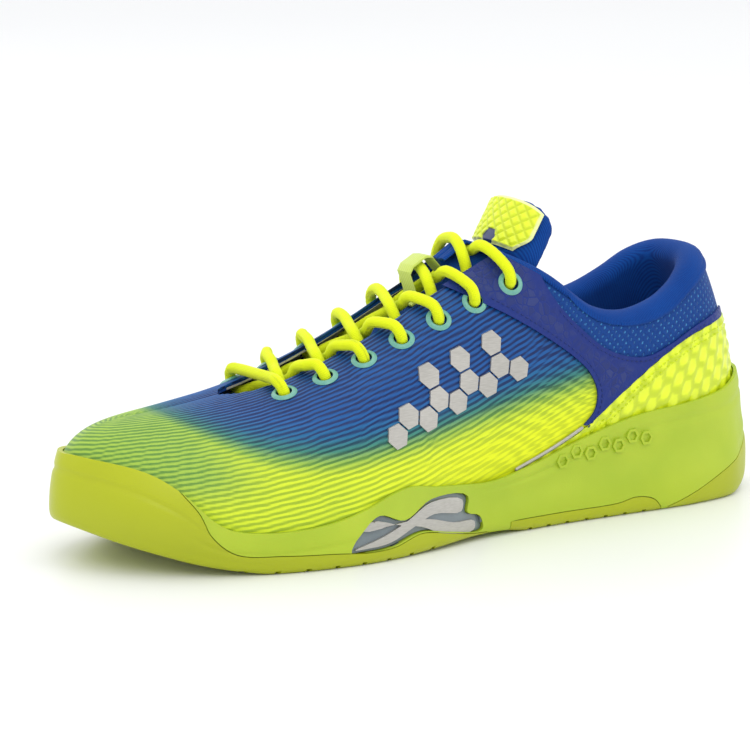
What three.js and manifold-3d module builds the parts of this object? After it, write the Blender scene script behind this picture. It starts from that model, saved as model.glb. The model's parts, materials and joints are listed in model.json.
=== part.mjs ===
// Court shoe, left foot: a low-cut indoor racket-sports shoe.
// Millimetres. +X points to the toe, +Y to the outer side of the foot, +Z up. The origin is on the floor,
// under the middle of the shoe.
import * as THREE from 'three';
import { mergeVertices } from 'three/addons/utils/BufferGeometryUtils.js';
import Module from 'manifold-3d';

const wasm = await Module();
wasm.setup();

// Overall sizes. The outlines below are drawn for a 298 x 106 x 99 shoe and follow these three.
const shoeLength = 298;
const shoeWidth = 106;
const collarHeight = 99;

// Gaps, and how far a facet may lie from the true cut
const fit = 0.3;
const facetTolerance = 0.09;

// Upper: thicknesses of the layers, from the foot outwards
const liningThickness = 0.9;
const eyestayThickness = 0.75;
const shellThickness = 0.9;
const overlayThickness = 0.8;
const panelThickness = 1.0;
const filmThickness = 0.35;
const badgeThickness = 1.0;
const foamThickness = 6.5;
const collarRoll = 1.2;

// Sole
const strobelThickness = 1.5;
const insoleThickness = 5;
const outsoleThickness = 4;
const outsoleWall = 3.2;
const shankThickness = 2.2;
const braceThickness = 2.8;
const braceSetIn = 1.0;
const heelCushion = { at: 46, length: 52, width: 36, depth: 8 };
const foreCushion = { at: 214, length: 58, width: 50, depth: 3 };

// Tongue
const tongueThickness = 4;
const tongueFrontThickness = 2.2;
const tonguePadLength = 22;
const tonguePadThickness = 8;
const tonguePadRadius = 20;
const loopWidth = 9;
const loopThickness = 1;

// Lacing
const laceDiameter = 4.4;
const eyeletCount = 7;
const eyeletHole = 6.2;
const eyeletFromEdge = 9.5;
const agletDiameter = 3.4;
const agletLength = 22;

// Derived layer places, as distances outwards from the inner face of the forefoot lining
const laceRadius = laceDiameter / 2;
const shellIn = liningThickness + fit;
const shellOut = shellIn + shellThickness;
const overlayIn = shellOut + fit;
const overlayOut = overlayIn + overlayThickness;
const panelOut = overlayIn + panelThickness;
const badgeIn = panelOut + fit;
const rearLiningOut = -fit;
const rearLiningIn = rearLiningOut - liningThickness;
const tongueOut = -(laceDiameter + 1.5);
const pocketDepth = fit + strobelThickness + 0.5;

// ---------------------------------------------------------------- helpers

const lerp = THREE.MathUtils.lerp;
const clamp = THREE.MathUtils.clamp;

// A smooth curve through [place, value] points, flat beyond its ends.
function profile(points) {
  const last = points.length - 1;
  const slopes = points.map((point, i) => {
    const before = points[Math.max(i - 1, 0)];
    const after = points[Math.min(i + 1, last)];
    const turns = i > 0 && i < last && (point[1] - before[1]) * (after[1] - point[1]) <= 0;
    return turns ? 0 : (after[1] - before[1]) / (after[0] - before[0]);
  });
  return (place) => {
    const x = clamp(place, points[0][0], points[last][0]);
    let i = 0;
    while (i < last - 1 && x > points[i + 1][0]) i += 1;
    const span = points[i + 1][0] - points[i][0];
    const t = (x - points[i][0]) / span;
    const a = points[i][1];
    const b = points[i + 1][1];
    const rise = b - a;
    const c = slopes[i] * span - rise;
    const d = rise - slopes[i + 1] * span;
    return lerp(a, b, t) + t * (1 - t) * (c * (1 - t) + d * t);
  };
}

function smoothstep(x, from, to) {
  const t = clamp((x - from) / (to - from), 0, 1);
  return t * t * (3 - 2 * t);
}

// Drawn places are measured forward from the back of the heel, from the middle line, and from the floor.
const nominal = { length: 298, width: 106, height: 99, heelFootbed: 22 };
const forward = (d) => (d / nominal.length - 0.5) * shoeLength;
const drawn = (x) => (x / shoeLength + 0.5) * nominal.length;
const across = (y) => (y * shoeWidth) / nominal.width;
const tall = (collarHeight - nominal.heelFootbed) / (nominal.height - nominal.heelFootbed);
const upward = (z) => (z > nominal.heelFootbed ? nominal.heelFootbed + (z - nominal.heelFootbed) * tall : z);

// Makes a manifold solid from a three.js geometry.
function solid(geometry) {
  const plain = geometry.clone();
  plain.deleteAttribute('normal');
  plain.deleteAttribute('uv');
  const merged = mergeVertices(plain, 1e-4);
  const index = merged.getIndex().array;
  const kept = [];
  for (let i = 0; i < index.length; i += 3) {
    const [a, b, c] = [index[i], index[i + 1], index[i + 2]];
    if (a !== b && b !== c && c !== a) kept.push(a, b, c);
  }
  const vertProperties = merged.getAttribute('position').array;
  return new wasm.Manifold(new wasm.Mesh({ numProp: 3, vertProperties, triVerts: new Uint32Array(kept) }));
}

// Makes a three.js geometry from a manifold solid.
function geometryOf(made) {
  const mesh = made.getMesh();
  const geometry = new THREE.BufferGeometry();
  geometry.setAttribute('position', new THREE.BufferAttribute(new Float32Array(mesh.vertProperties), 3));
  geometry.setIndex(new THREE.BufferAttribute(new Uint32Array(mesh.triVerts), 1));
  return geometry;
}

// The faces between closed loops with equally many points. Each quad is split along its shorter diagonal,
// so that neighbouring layers fold alike.
function sides(loops) {
  const size = loops[0].length;
  const triangles = [];
  for (let i = 0; i < loops.length - 1; i += 1) {
    for (let j = 0; j < size; j += 1) {
      const k = (j + 1) % size;
      const [a, b, c, d] = [loops[i][j], loops[i + 1][j], loops[i + 1][k], loops[i][k]];
      if (a.distanceTo(c) < b.distanceTo(d)) triangles.push([a, b, c], [a, c, d]);
      else triangles.push([a, b, d], [b, c, d]);
    }
  }
  return triangles;
}

// A solid whose cross-sections are closed loops; its first and last loops are flat.
function ladder(loops) {
  return solid(trianglesGeometry(sides(loops)));
}

// A solid between two grids of points, closed around their four edges.
function sheet(outer, inner) {
  const rows = outer.map((row, i) => [...row, ...[...inner[i]].reverse()]);
  const triangles = sides(rows);
  const size = rows[0].length;
  const last = rows.length - 1;
  for (let j = 0; j < outer[0].length - 1; j += 1) {
    const k = size - 1 - j;
    triangles.push([rows[0][j], rows[0][j + 1], rows[0][k - 1]]);
    triangles.push([rows[0][j], rows[0][k - 1], rows[0][k]]);
    triangles.push([rows[last][j], rows[last][k - 1], rows[last][j + 1]]);
    triangles.push([rows[last][j], rows[last][k], rows[last][k - 1]]);
  }
  return solid(trianglesGeometry(triangles));
}

// Triangles to a geometry, turned round if they enclose a negative volume.
function trianglesGeometry(triangles) {
  let volume = 0;
  for (const [a, b, c] of triangles) volume += a.dot(b.clone().cross(c));
  const flat = [];
  for (const [a, b, c] of triangles) {
    const corners = volume > 0 ? [a, b, c] : [a, c, b];
    for (const corner of corners) flat.push(corner.x, corner.y, corner.z);
  }
  const geometry = new THREE.BufferGeometry();
  geometry.setAttribute('position', new THREE.Float32BufferAttribute(flat, 3));
  return geometry;
}

// Points along a smooth open line through [a, b] points.
function smooth(points, steps = 3) {
  const line = new THREE.CatmullRomCurve3(
    points.map(([a, b]) => new THREE.Vector3(a, b, 0)), false, 'centripetal');
  return line.getPoints(steps * (points.length - 1)).map((p) => [p.x, p.y]);
}

// An open line moved sideways: to the left of its direction if the distance is positive.
function moved(points, distance) {
  return points.map(([a, b], i) => {
    const before = points[Math.max(i - 1, 0)];
    const after = points[Math.min(i + 1, points.length - 1)];
    const along = new THREE.Vector2(after[0] - before[0], after[1] - before[1]).normalize();
    return [a - along.y * distance, b + along.x * distance];
  });
}

// A closed outline grown by a distance.
function grown(points, distance) {
  const area = THREE.ShapeUtils.area(points.map(([a, b]) => new THREE.Vector2(a, b)));
  const side = area > 0 ? -distance : distance;
  const ring = [points[points.length - 1], ...points, points[0]];
  return moved(ring, side).slice(1, -1);
}

function extrude(points, depth) {
  const shape = new THREE.Shape(points.map(([a, b]) => new THREE.Vector2(a, b)));
  return new THREE.ExtrudeGeometry(shape, { depth, bevelEnabled: false });
}

// Everything inside an outline seen from the side, between two places across the shoe.
function sideRegion(points, from = -shoeWidth, to = shoeWidth) {
  const geometry = extrude(points, to - from);
  geometry.rotateX(Math.PI / 2);
  geometry.translate(0, to, 0);
  return solid(geometry);
}

// Everything inside an outline seen from above, between two heights.
function topRegion(points, from, to) {
  const geometry = extrude(points, to - from);
  geometry.translate(0, 0, from);
  return solid(geometry);
}

const sideDrawn = (points) => points.map(([d, z]) => [forward(d), upward(z)]);

// ---------------------------------------------------------------- form of the foot

// Seen from above: where the upper meets the footbed, and the widest line of the sole.
const upperLateral = [[8, 0], [11, 14], [22, 25], [42, 30], [75, 31], [110, 32], [145, 36], [180, 43.5],
  [210, 47], [238, 44], [262, 34], [281, 17], [290, -8]];
const upperMedial = [[11, -14], [22, -24], [42, -29], [75, -28.5], [110, -28], [145, -29.5], [180, -37],
  [210, -44.5], [235, -46], [258, -41.5], [276, -31], [287, -19]];
const soleLateral = [[0, 0], [4, 18], [18, 31], [42, 37], [75, 37.5], [108, 38], [140, 41.5], [170, 48.5],
  [200, 53], [228, 50.5], [256, 41], [280, 24], [294, 5], [298, -10]];
const soleMedial = [[4, -18], [18, -30], [42, -35.5], [75, -35], [108, -34], [140, -35.5], [170, -43],
  [200, -51], [226, -53], [252, -48.5], [275, -38.5], [291, -25]];

// A closed plan line. Its points are found by side and by the share of the way from heel to toe.
function planLine(lateral, medial) {
  const ring = [...lateral, ...[...medial].reverse()];
  const curve = new THREE.CatmullRomCurve3(
    ring.map(([d, y]) => new THREE.Vector3(forward(d), across(y), 0)), true, 'centripetal');
  curve.arcLengthDivisions = ring.length * 16;
  const lengths = curve.getLengths();
  const toe = lengths[(lateral.length - 1) * 16] / lengths[lengths.length - 1];
  return (a) => curve.getPointAt(a >= 0 ? a * toe : 1 + a * (1 - toe));
}

const upperPlan = planLine(upperLateral, upperMedial);
const solePlan = planLine(soleLateral, soleMedial);

// Heights along the shoe
const footbedLine = profile([[90, 22], [130, 19], [170, 14.5], [200, 12.5], [235, 12], [262, 15], [290, 21]]);
const groundLine = profile([[0, 12], [5, 6], [12, 1.8], [20, 0], [120, 0], [133, 1.5], [145, 1.8], [168, 0.8],
  [190, 0], [237, 0], [250, 1.5], [263, 4], [275, 7.5], [287, 11.5], [298, 16]]);
const midsoleTopLine = profile([[-5, 50], [5, 48], [20, 43], [40, 40.5], [59, 39], [74, 36.5], [96, 31],
  [118, 25], [141, 21.5], [167, 23.5], [181, 25.5], [191, 24], [204, 20], [219, 16.8], [238, 15.5],
  [255, 17], [262, 21], [271, 30], [283, 37.5], [298, 41.5]]);
const footbed = (x) => footbedLine(drawn(x));
const ground = (x) => groundLine(drawn(x));

// The ridge over the instep and toes. It goes on over the foot opening, where nothing is built on it.
const ridgeBack = 75;
const ridgeFront = 262;
const ridgeLine = profile([[75, 148], [95, 127], [112, 115], [124, 108], [137, 99.5], [152, 90.5],
  [167, 81], [182, 72.5], [200, 64], [218, 57.5], [240, 53], [262, 50]]);
const ridgeShare = profile([[0, 0], [0.15, 0.06], [0.3, 0.2], [0.5, 0.42], [0.75, 0.74], [1, 1]]);
const ridgeShift = profile([[95, 0], [125, 1.5], [165, 1], [200, -2], [262, -11]]);
function ridge(u) {
  const d = lerp(ridgeBack, ridgeFront, ridgeShare(u));
  return new THREE.Vector3(forward(d), across(ridgeShift(d)), upward(ridgeLine(d)));
}

// Shape of a rib from the footbed up to the ridge, by the share of the way from heel to toe
const wallRise = profile([[0, 0.42], [0.15, 0.56], [0.35, 0.72], [0.6, 0.68], [0.85, 0.62], [1, 0.75]]);
const crownWidth = profile([[0, 0.45], [0.15, 0.62], [0.35, 0.74], [0.55, 0.64], [0.75, 0.54], [0.88, 0.58], [1, 0.85]]);
const wallBulge = profile([[0, 3], [0.1, 2], [0.85, 2.5], [1, 8]]);

const wrapped = (a) => ((((a + 1) % 2) + 2) % 2) - 1;

// A point of the form: a is 0 at the heel and 1 or -1 at the toe, by the outer or the inner side of the
// foot; h is 0 at the footbed and 1 on the ridge.
function formPoint(turn, h) {
  const a = wrapped(turn);
  const u = Math.abs(a);
  const base = upperPlan(a);
  base.z = footbed(base.x);
  const top = ridge(u);
  const rise = top.z - base.z;
  const outwards = new THREE.Vector3(base.x - top.x, base.y - top.y, 0);
  const wall = base.clone().addScaledVector(outwards.clone().normalize(), wallBulge(u));
  wall.z += rise * wallRise(u);
  const crown = top.clone().addScaledVector(outwards, crownWidth(u));
  const rib = new THREE.CubicBezierCurve3(base, wall, crown, top);
  return rib.getPoint(h);
}

function formNormalOneSide(a, h) {
  const step = 0.004;
  const alongRib = formPoint(a, h + step).sub(formPoint(a, h - step));
  const alongShoe = formPoint(a + step, h).sub(formPoint(a - step, h));
  return alongRib.cross(alongShoe).normalize();
}

function formNormal(a, h) {
  const top = 0.985;
  if (h < top) return formNormalOneSide(a, clamp(h, 0.01, 1));
  return formNormalOneSide(a, top).add(formNormalOneSide(-a, top)).normalize();
}

// A point at a distance from the form. On the footbed line it moves level with the floor.
function offsetPoint(a, h, distance) {
  const normal = formNormal(a, h);
  if (h === 0) normal.setZ(0).normalize();
  return formPoint(a, h).addScaledVector(normal, distance);
}

// The share h at which a rib reaches a height
function ribShare(a, height) {
  let low = 0;
  let high = 1;
  for (let i = 0; i < 24; i += 1) {
    const middle = (low + high) / 2;
    if (formPoint(a, middle).z < height) low = middle;
    else high = middle;
  }
  return low;
}

// The place on the form above a point of the plan, near the ridge
function locate(x, y) {
  const side = y >= across(ridgeShift(drawn(x))) ? 1 : -1;
  let nearHeel = 0.1;
  let nearToe = 0.98;
  let h = 0.5;
  for (let i = 0; i < 22; i += 1) {
    const u = (nearHeel + nearToe) / 2;
    let low = 0.3;
    let high = 1;
    for (let k = 0; k < 22; k += 1) {
      h = (low + high) / 2;
      if (side * formPoint(side * u, h).y > side * y) low = h;
      else high = h;
    }
    if (formPoint(side * u, h).x < x) nearHeel = u;
    else nearToe = u;
  }
  return { a: (side * (nearHeel + nearToe)) / 2, h };
}

// Sections are closer together round the heel and the toe.
const sectionCount = 30;
const stations = Array.from({ length: sectionCount + 1 }, (_, i) => {
  const s = i / sectionCount;
  return s - (0.35 * Math.sin(2 * Math.PI * s)) / (2 * Math.PI);
});
const ribSteps = 7;
const ribShares = Array.from({ length: ribSteps + 1 }, (_, i) => i / ribSteps);

// ---------------------------------------------------------------- layers of the upper

// One layer of the whole upper, heel to toe and over the top. Each face is a distance or a function of the
// form's point.
function layer(inner, outer) {
  const place = (a, h, face) => {
    const distance = typeof face === 'function' ? face(formPoint(a, h)) : face;
    return offsetPoint(a, h, distance);
  };
  const down = [...ribShares].reverse().slice(1);
  return ladder(stations.map((u) => [
    ...ribShares.map((h) => place(u, h, outer)),
    ...down.map((h) => place(-u, h, outer)),
    ...ribShares.map((h) => place(-u, h, inner)),
    ...down.map((h) => place(u, h, inner)),
  ]));
}

// Lines seen from the side
const collarLine = smooth([[-12, 99], [16, 99], [26, 98], [36, 93], [46, 86], [58, 80.5], [72, 78], [86, 81],
  [98, 89], [110, 97], [120, 102], [132, 108], [146, 116]]);
const liningSeam = smooth([[-12, 90], [15, 90], [28, 89], [40, 83], [50, 77], [62, 73.5], [74, 73.5],
  [86, 77.5], [97, 86], [106, 94], [112, 100]]);
const meshEdge = smooth([[18, 74], [28, 72.5], [40, 69], [52, 64], [63, 60.5], [73, 61.5], [84, 66], [94, 74],
  [103, 83.5], [108, 92], [110, 100]]);
const panelEdge = smooth([[-12, 71], [18, 70.5], [38, 67], [54, 60.5], [74, 48.5], [94, 35.5], [113, 27.5],
  [140, 18], [150, 10]]);
const overlayFront = smooth([[94, 37], [89, 42], [87.5, 49], [91, 57], [99, 64.5], [112, 73.5], [126, 82],
  [140, 89.5], [156, 99]]);
const rearSplit = [[120, 120], [113, 96], [102, 77], [88, 59], [82, 46], [80, 0]];
const liningSplit = [[119, 120], [112, 90], [104, 60], [98, 0]];

// What lies above the collar line, lowered by a distance
function mouth(lowered = 0) {
  const edge = sideDrawn(collarLine).map(([x, z]) => [x, z - lowered]);
  const last = edge[edge.length - 1];
  return sideRegion([...edge, [last[0], collarHeight * 3], [edge[0][0], collarHeight * 3]]);
}

// The lace gap, seen from above
const throatHalf = [[96, 19], [112, 17], [124, 15.5], [150, 14.5], [180, 13.5], [205, 12], [219, 10],
  [227, 6.5]];
const throatFront = 231;
const throatHalfWidth = profile(throatHalf);
function throatOutline(extra = 0) {
  const side = (sign) => throatHalf.map(([d, half]) => [
    forward(d + (d > 215 ? extra * 0.6 : 0)), across(ridgeShift(d)) + sign * (across(half) + extra)]);
  const front = [forward(throatFront) + extra, across(ridgeShift(throatFront))];
  return [...smooth([...side(1), front]), ...smooth([front, ...side(-1).reverse()]).slice(1)];
}
const above = (points) => topRegion(points, nominal.heelFootbed + insoleThickness, collarHeight * 3);

const behind = (line, extra = 0) => {
  const edge = moved(sideDrawn(line), extra);
  return sideRegion([...edge, [forward(-40), edge[edge.length - 1][1]], [forward(-40), edge[0][1]]]);
};
const below = (line, extra = 0, from, to) => {
  const edge = moved(sideDrawn(line), extra);
  return sideRegion([...edge, [edge[edge.length - 1][0], -40], [edge[0][0], -40]], from, to);
};

const foamTop = 58;
const foamFull = 69;
const counterFront = 82;
const foamFront = 104;
const foamFade = 14;

// How far the collar padding stands inwards at a point of the form
function padding(point) {
  const rise = smoothstep(point.z, upward(foamTop), upward(foamFull));
  const fade = smoothstep(point.x, forward(foamFront), forward(foamFront - foamFade));
  return foamThickness * rise * fade;
}

// The lining steps inwards over the toe puff.
const toePuffBack = 266;
const toeStep = (point) => -(liningThickness + fit) * smoothstep(point.x, forward(254), forward(toePuffBack - 5));

const materials = {
  vamp: ['#1f63a8', 0.6],
  navy: ['#1b2f86', 0.55],
  yellow: ['#e2f02a', 0.5],
  lime: ['#b4cf48', 0.55],
  olive: ['#bccb1c', 0.4],
  blueFabric: ['#14498f', 0.9],
  mesh: ['#174f99', 0.85],
  foam: ['#d8d2a8', 0.95],
  board: ['#e8e6dc', 0.9],
  stiffener: ['#c9c4b4', 0.7],
  insole: ['#1c3f86', 0.9],
  lace: ['#dcf51c', 0.8],
  silver: ['#c3c6c4', 0.35, 0.6],
  grey: ['#7f8a8f', 0.35],
  gel: ['#e8ef9a', 0.4],
  clear: ['#e9f3a0', 0.3],
};

const shoe = new THREE.Group();

function add(name, kind, made) {
  const [color, roughness, metalness = 0] = materials[kind];
  const material = new THREE.MeshStandardMaterial({ color, roughness, metalness });
  const body = mainBody(solid(geometryOf(made.simplify(facetTolerance))));
  const mesh = new THREE.Mesh(geometryOf(body), material);
  mesh.name = name;
  shoe.add(mesh);
}

// The largest connected body, which drops slivers left by a cut
function mainBody(made) {
  const bodies = made.decompose();
  bodies.sort((a, b) => b.volume() - a.volume());
  return bodies[0];
}

const collarCut = mouth();
const collarCutLow = mouth(collarRoll + fit);
const throatCut = above(throatOutline());
const rearHalf = behind(rearSplit);
const rearHalfWide = behind(rearSplit, fit);
const rearInner = behind(liningSplit);
const rearInnerWide = behind(liningSplit, fit);

// ---------------------------------------------------------------- eyelets

const eyeletFirst = 212;
const eyeletLast = 124;
function eyelet(i, side) {
  const d = lerp(eyeletFirst, eyeletLast, (i - 1) / (eyeletCount - 1));
  const x = forward(d);
  const y = across(ridgeShift(d)) + side * across(throatHalfWidth(d));
  const { a, h: edge } = locate(x, y);
  const onEdge = formPoint(a, edge);
  let h = edge;
  while (formPoint(a, h).distanceTo(onEdge) < eyeletFromEdge) h -= 0.002;
  const point = formPoint(a, h);
  const normal = formNormal(a, h);
  const toGap = new THREE.Vector3(0, -side, 0);
  toGap.addScaledVector(normal, -toGap.dot(normal)).normalize();
  const last = i === eyeletCount;
  return { x: point.x, y: point.y, point, normal, toGap, outside: last ? overlayOut : shellOut, last };
}
const eyelets = { lateral: [], medial: [] };
for (let i = 1; i <= eyeletCount; i += 1) {
  eyelets.lateral.push(eyelet(i, 1));
  eyelets.medial.push(eyelet(i, -1));
}

function eyeletDrill({ point, normal }) {
  const geometry = new THREE.CylinderGeometry(eyeletHole / 2, eyeletHole / 2, 14, 10);
  geometry.applyQuaternion(new THREE.Quaternion().setFromUnitVectors(new THREE.Vector3(0, 1, 0), normal));
  geometry.translate(point.x, point.y, point.z);
  return solid(geometry);
}
const allEyelets = [...eyelets.lateral, ...eyelets.medial];
const eyeletDrills = allEyelets.map(eyeletDrill).reduce((sum, drill) => sum.add(drill));

// ---------------------------------------------------------------- upper

function vampShell() {
  return layer(shellIn, shellOut).subtract(collarCut).subtract(throatCut).subtract(rearHalfWide)
    .subtract(eyeletDrills);
}

const eyestayWidth = 19;
const eyestayBack = 115;
function eyestayStrip(extra) {
  const wide = above(throatOutline(eyestayWidth + extra));
  const rear = sideRegion([[forward(eyestayBack) - extra, -40], [forward(throatFront - 8) + extra, -40],
    [forward(throatFront - 8) + extra, collarHeight * 3], [forward(eyestayBack) - extra, collarHeight * 3]]);
  return wide.intersect(rear);
}

function eyestay(side) {
  const half = side > 0 ? [fit, shoeWidth] : [-shoeWidth, -fit];
  const strip = layer(0, eyestayThickness).intersect(eyestayStrip(0)).subtract(throatCut)
    .subtract(collarCutLow).subtract(eyeletDrills);
  const plan = [[forward(90), half[0]], [forward(throatFront), half[0]], [forward(throatFront), half[1]],
    [forward(90), half[1]]];
  return strip.intersect(above(plan));
}

function vampLining() {
  return layer((p) => toeStep(p), (p) => liningThickness + toeStep(p)).subtract(collarCutLow)
    .subtract(throatCut).subtract(rearInnerWide).subtract(eyestayStrip(fit));
}

function toePuff() {
  const front = sideRegion([[forward(toePuffBack), -40], [forward(330), -40], [forward(330), collarHeight * 2],
    [forward(toePuffBack), collarHeight * 2]]);
  return layer(0, liningThickness).intersect(front);
}

function heelCounter() {
  const zone = sideRegion(sideDrawn([[-20, 0], [counterFront + 8, 0], [counterFront, foamTop - 12],
    [counterFront - 16, foamTop - 0.6], [-20, foamTop - 0.6]]));
  return layer(0, liningThickness).intersect(zone);
}

function collarFoam() {
  const zone = sideRegion(sideDrawn([[-20, foamTop], [foamFront - 12, foamTop], [foamFront, foamTop + 14],
    [foamFront + 1, collarHeight * 2], [-20, collarHeight * 2]]));
  return layer((p) => -padding(p), liningThickness - fit).intersect(zone).subtract(collarCutLow);
}

function collarLining() {
  const lowered = mouth(collarRoll);
  const whole = layer((p) => rearLiningIn - padding(p), shellOut).subtract(collarCut).intersect(rearInner);
  const filling = layer((p) => rearLiningOut - padding(p), shellIn).subtract(lowered);
  const rollEnd = below(liningSeam).intersect(layer(shellIn - 0.1, shellOut + 1));
  const frontOuter = layer(rearLiningOut + 0.01, shellOut + 1)
    .intersect(sideRegion([[forward(108), -40], [forward(150), -40], [forward(150), 300], [forward(108), 300]]));
  const underShell = layer(shellIn - 0.1, shellOut + 1).subtract(rearHalf);
  return whole.subtract(filling).subtract(rollEnd).subtract(frontOuter).subtract(underShell);
}

function collarMesh() {
  return layer(shellIn, shellOut).intersect(rearHalf).intersect(below(liningSeam, -fit))
    .subtract(collarCutLow);
}

function quarterOverlay(side) {
  const [from, to] = side > 0 ? [4, shoeWidth] : [-shoeWidth, -4];
  const front = sideDrawn(overlayFront);
  const upper = sideDrawn([...meshEdge].reverse());
  const lower = moved(sideDrawn(panelEdge), fit).filter(([x]) => x > forward(18) && x < forward(93));
  const top = [[forward(156), upward(125)], [forward(110), upward(125)]];
  return layer(overlayIn, overlayOut)
    .intersect(sideRegion([...lower, ...front, ...top, ...upper], from, to))
    .subtract(collarCut).subtract(throatCut).subtract(eyeletDrills);
}

function heelPanel() {
  return layer(overlayIn, panelOut).intersect(below(panelEdge));
}

function heelBadge() {
  const zone = new THREE.BoxGeometry(60, 18, 10);
  zone.translate(forward(0), 0, upward(59));
  return layer(badgeIn, badgeIn + badgeThickness).intersect(solid(zone));
}

// A plain cluster of hexagons, smaller towards the toe, as one film
const cellRadius = 5.4;
const cellPitch = 0.96;
const cellStart = { d: 124, z: 62 };
const cellTilt = -0.29;
const cellPlaces = [[0, 0], [1, 0], [1, 1], [2, 0], [3, 0], [3, 1], [4, 0], [5, 0], [5, 1], [6, 0], [7, 0], [8, 0]];
function sideFilm(side) {
  const [from, to] = side > 0 ? [4, shoeWidth] : [-shoeWidth, -4];
  const step = cellRadius * cellPitch;
  const hexagons = cellPlaces.map(([column, row]) => {
    const middle = new THREE.Vector2(column * step * 1.5, (row + (column % 2) / 2) * step * Math.sqrt(3));
    middle.rotateAround(new THREE.Vector2(), cellTilt);
    const corners = Array.from({ length: 6 }, (_, k) => {
      const angle = (k * Math.PI) / 3 + cellTilt;
      return [forward(cellStart.d) + middle.x + cellRadius * Math.cos(angle),
        upward(cellStart.z) + middle.y + cellRadius * Math.sin(angle)];
    });
    return sideRegion(corners, from, to);
  });
  const cluster = hexagons.reduce((sum, cell) => sum.add(cell));
  return layer(overlayIn, overlayIn + filmThickness).intersect(cluster);
}

// ---------------------------------------------------------------- footbed

// A plate that follows the footbed: its edge lies inside the upper's plan line by a distance.
function footPlate(inset, bottom, top) {
  const rim = (a, z) => {
    const base = upperPlan(wrapped(a));
    const height = footbed(base.x) + z;
    const normal = formNormal(a, 0);
    normal.z = 0;
    base.addScaledVector(normal.normalize(), -inset);
    base.z = height;
    return base;
  };
  return ladder(stations.map((u) => [rim(u, top), rim(-u, top), rim(-u, bottom), rim(u, bottom)]));
}

// ---------------------------------------------------------------- sole

const envelopeFront = shellOut + fit;
const envelopeRear = panelOut + fit;
const envelope = (point) => lerp(envelopeRear, envelopeFront, smoothstep(drawn(point.x), 142, 156));

// The room for the lasted upper
function pocket() {
  const down = [...ribShares].reverse().slice(1);
  const place = (a, h) => offsetPoint(a, h, envelope(formPoint(a, h)));
  const floor = (a) => {
    const point = place(a, 0);
    point.z = formPoint(a, 0).z - pocketDepth;
    return point;
  };
  return ladder(stations.map((u) => [floor(u), ...ribShares.map((h) => place(u, h)),
    ...down.map((h) => place(-u, h)), floor(-u)]));
}

const lip = profile([[240, 1.4], [285, 3.4]]);
const bottomInset = 3;
const wallCover = 2.2;

// The sole's outer body, drawn in by a distance at its sides and raised at its bottom
function block(inset, raised = 0) {
  const edge = (a) => {
    const here = solePlan(wrapped(a));
    const inwards = formNormal(a, 0);
    inwards.z = 0;
    inwards.normalize().negate();
    const topZ = upward(midsoleTopLine(drawn(here.x)));
    const floor = ground(here.x) + raised;
    const share = ribShare(a, topZ);
    const rim = offsetPoint(a, share, envelope(formPoint(a, share)) + lip(drawn(here.x)));
    rim.addScaledVector(inwards, inset);
    rim.z = topZ;
    const side = (z, drawnIn) => {
      const point = here.clone().addScaledVector(inwards, inset + drawnIn);
      point.z = z;
      return point;
    };
    const low = floor + (raised ? 0.5 : 4);
    const middle = side(lerp(low, topZ, 0.5), 0.8);
    const beside = ribShare(a, middle.z);
    const cover = offsetPoint(a, beside, envelope(formPoint(a, beside)) + wallCover);
    const short = -cover.sub(middle).dot(inwards) - inset;
    if (short > 0) middle.addScaledVector(inwards, -short);
    return [side(floor, bottomInset), side(low, 0), middle, rim];
  };
  return ladder(stations.map((u) => [...edge(u), ...edge(-u).reverse()]));
}

// Outsole pieces, seen from the side: what lies under these lines
const foreTop = smooth([[142, 2.6], [150, 3.4], [162, 5.6], [177, 8], [190, 5], [203, 4.6], [214, 5.6],
  [235, 6.8], [252, 8.4], [260, 15], [264, 24], [270, 34], [280, 60], [310, 64]]);
const heelTop = smooth([[59, 1], [63, 5], [71, 6.6], [80, 5.2], [106, 5], [131, 5]]);
const crashTop = [[-12, 26], [5, 21.5], [18, 14.5], [40, 6], [55.5, 1]];
const under = (line) => [...line, [line[line.length - 1][0], -10], [line[0][0], -10]];
const outsoleLines = { forefoot: under(foreTop), heel: under(heelTop), crash: under(crashTop) };
const soleDrawn = (points) => points.map(([d, z]) => [forward(d), z]);

const shankBack = 83;
const shankFront = 205;
function shankBand(extra) {
  const steps = 12;
  const bottom = [];
  for (let i = 0; i <= steps; i += 1) {
    const x = lerp(forward(shankBack) - extra, forward(shankFront) + extra, i / steps);
    bottom.push([x, ground(x) + outsoleThickness + 1.4]);
  }
  const top = bottom.map(([x, z]) => [x, z + shankThickness + extra]).reverse();
  const drop = extra > 0 ? bottom.map(([x]) => [x, -10]) : bottom;
  return sideRegion([...drop, ...top]);
}

// The side brace: crossed arms that rise from the shank on each side of the sole
const braceOutline = [[209, 5.6], [203, 13], [196, 17.2], [185, 14], [171, 19.6], [152.5, 17.8], [153.5, 12],
  [147, 9.5], [146, 4.6], [162, 6.6], [177, 9], [192, 5.6], [203, 5.2]];

function cushionDrill(size, top, extra) {
  const geometry = new THREE.CylinderGeometry(0.5, 0.5, size.depth + 2 * extra, 28);
  geometry.rotateX(Math.PI / 2);
  geometry.scale(size.length + 2 * extra, size.width + 2 * extra, 1);
  geometry.translate(forward(size.at), 0, top - size.depth / 2);
  return solid(geometry);
}

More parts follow.
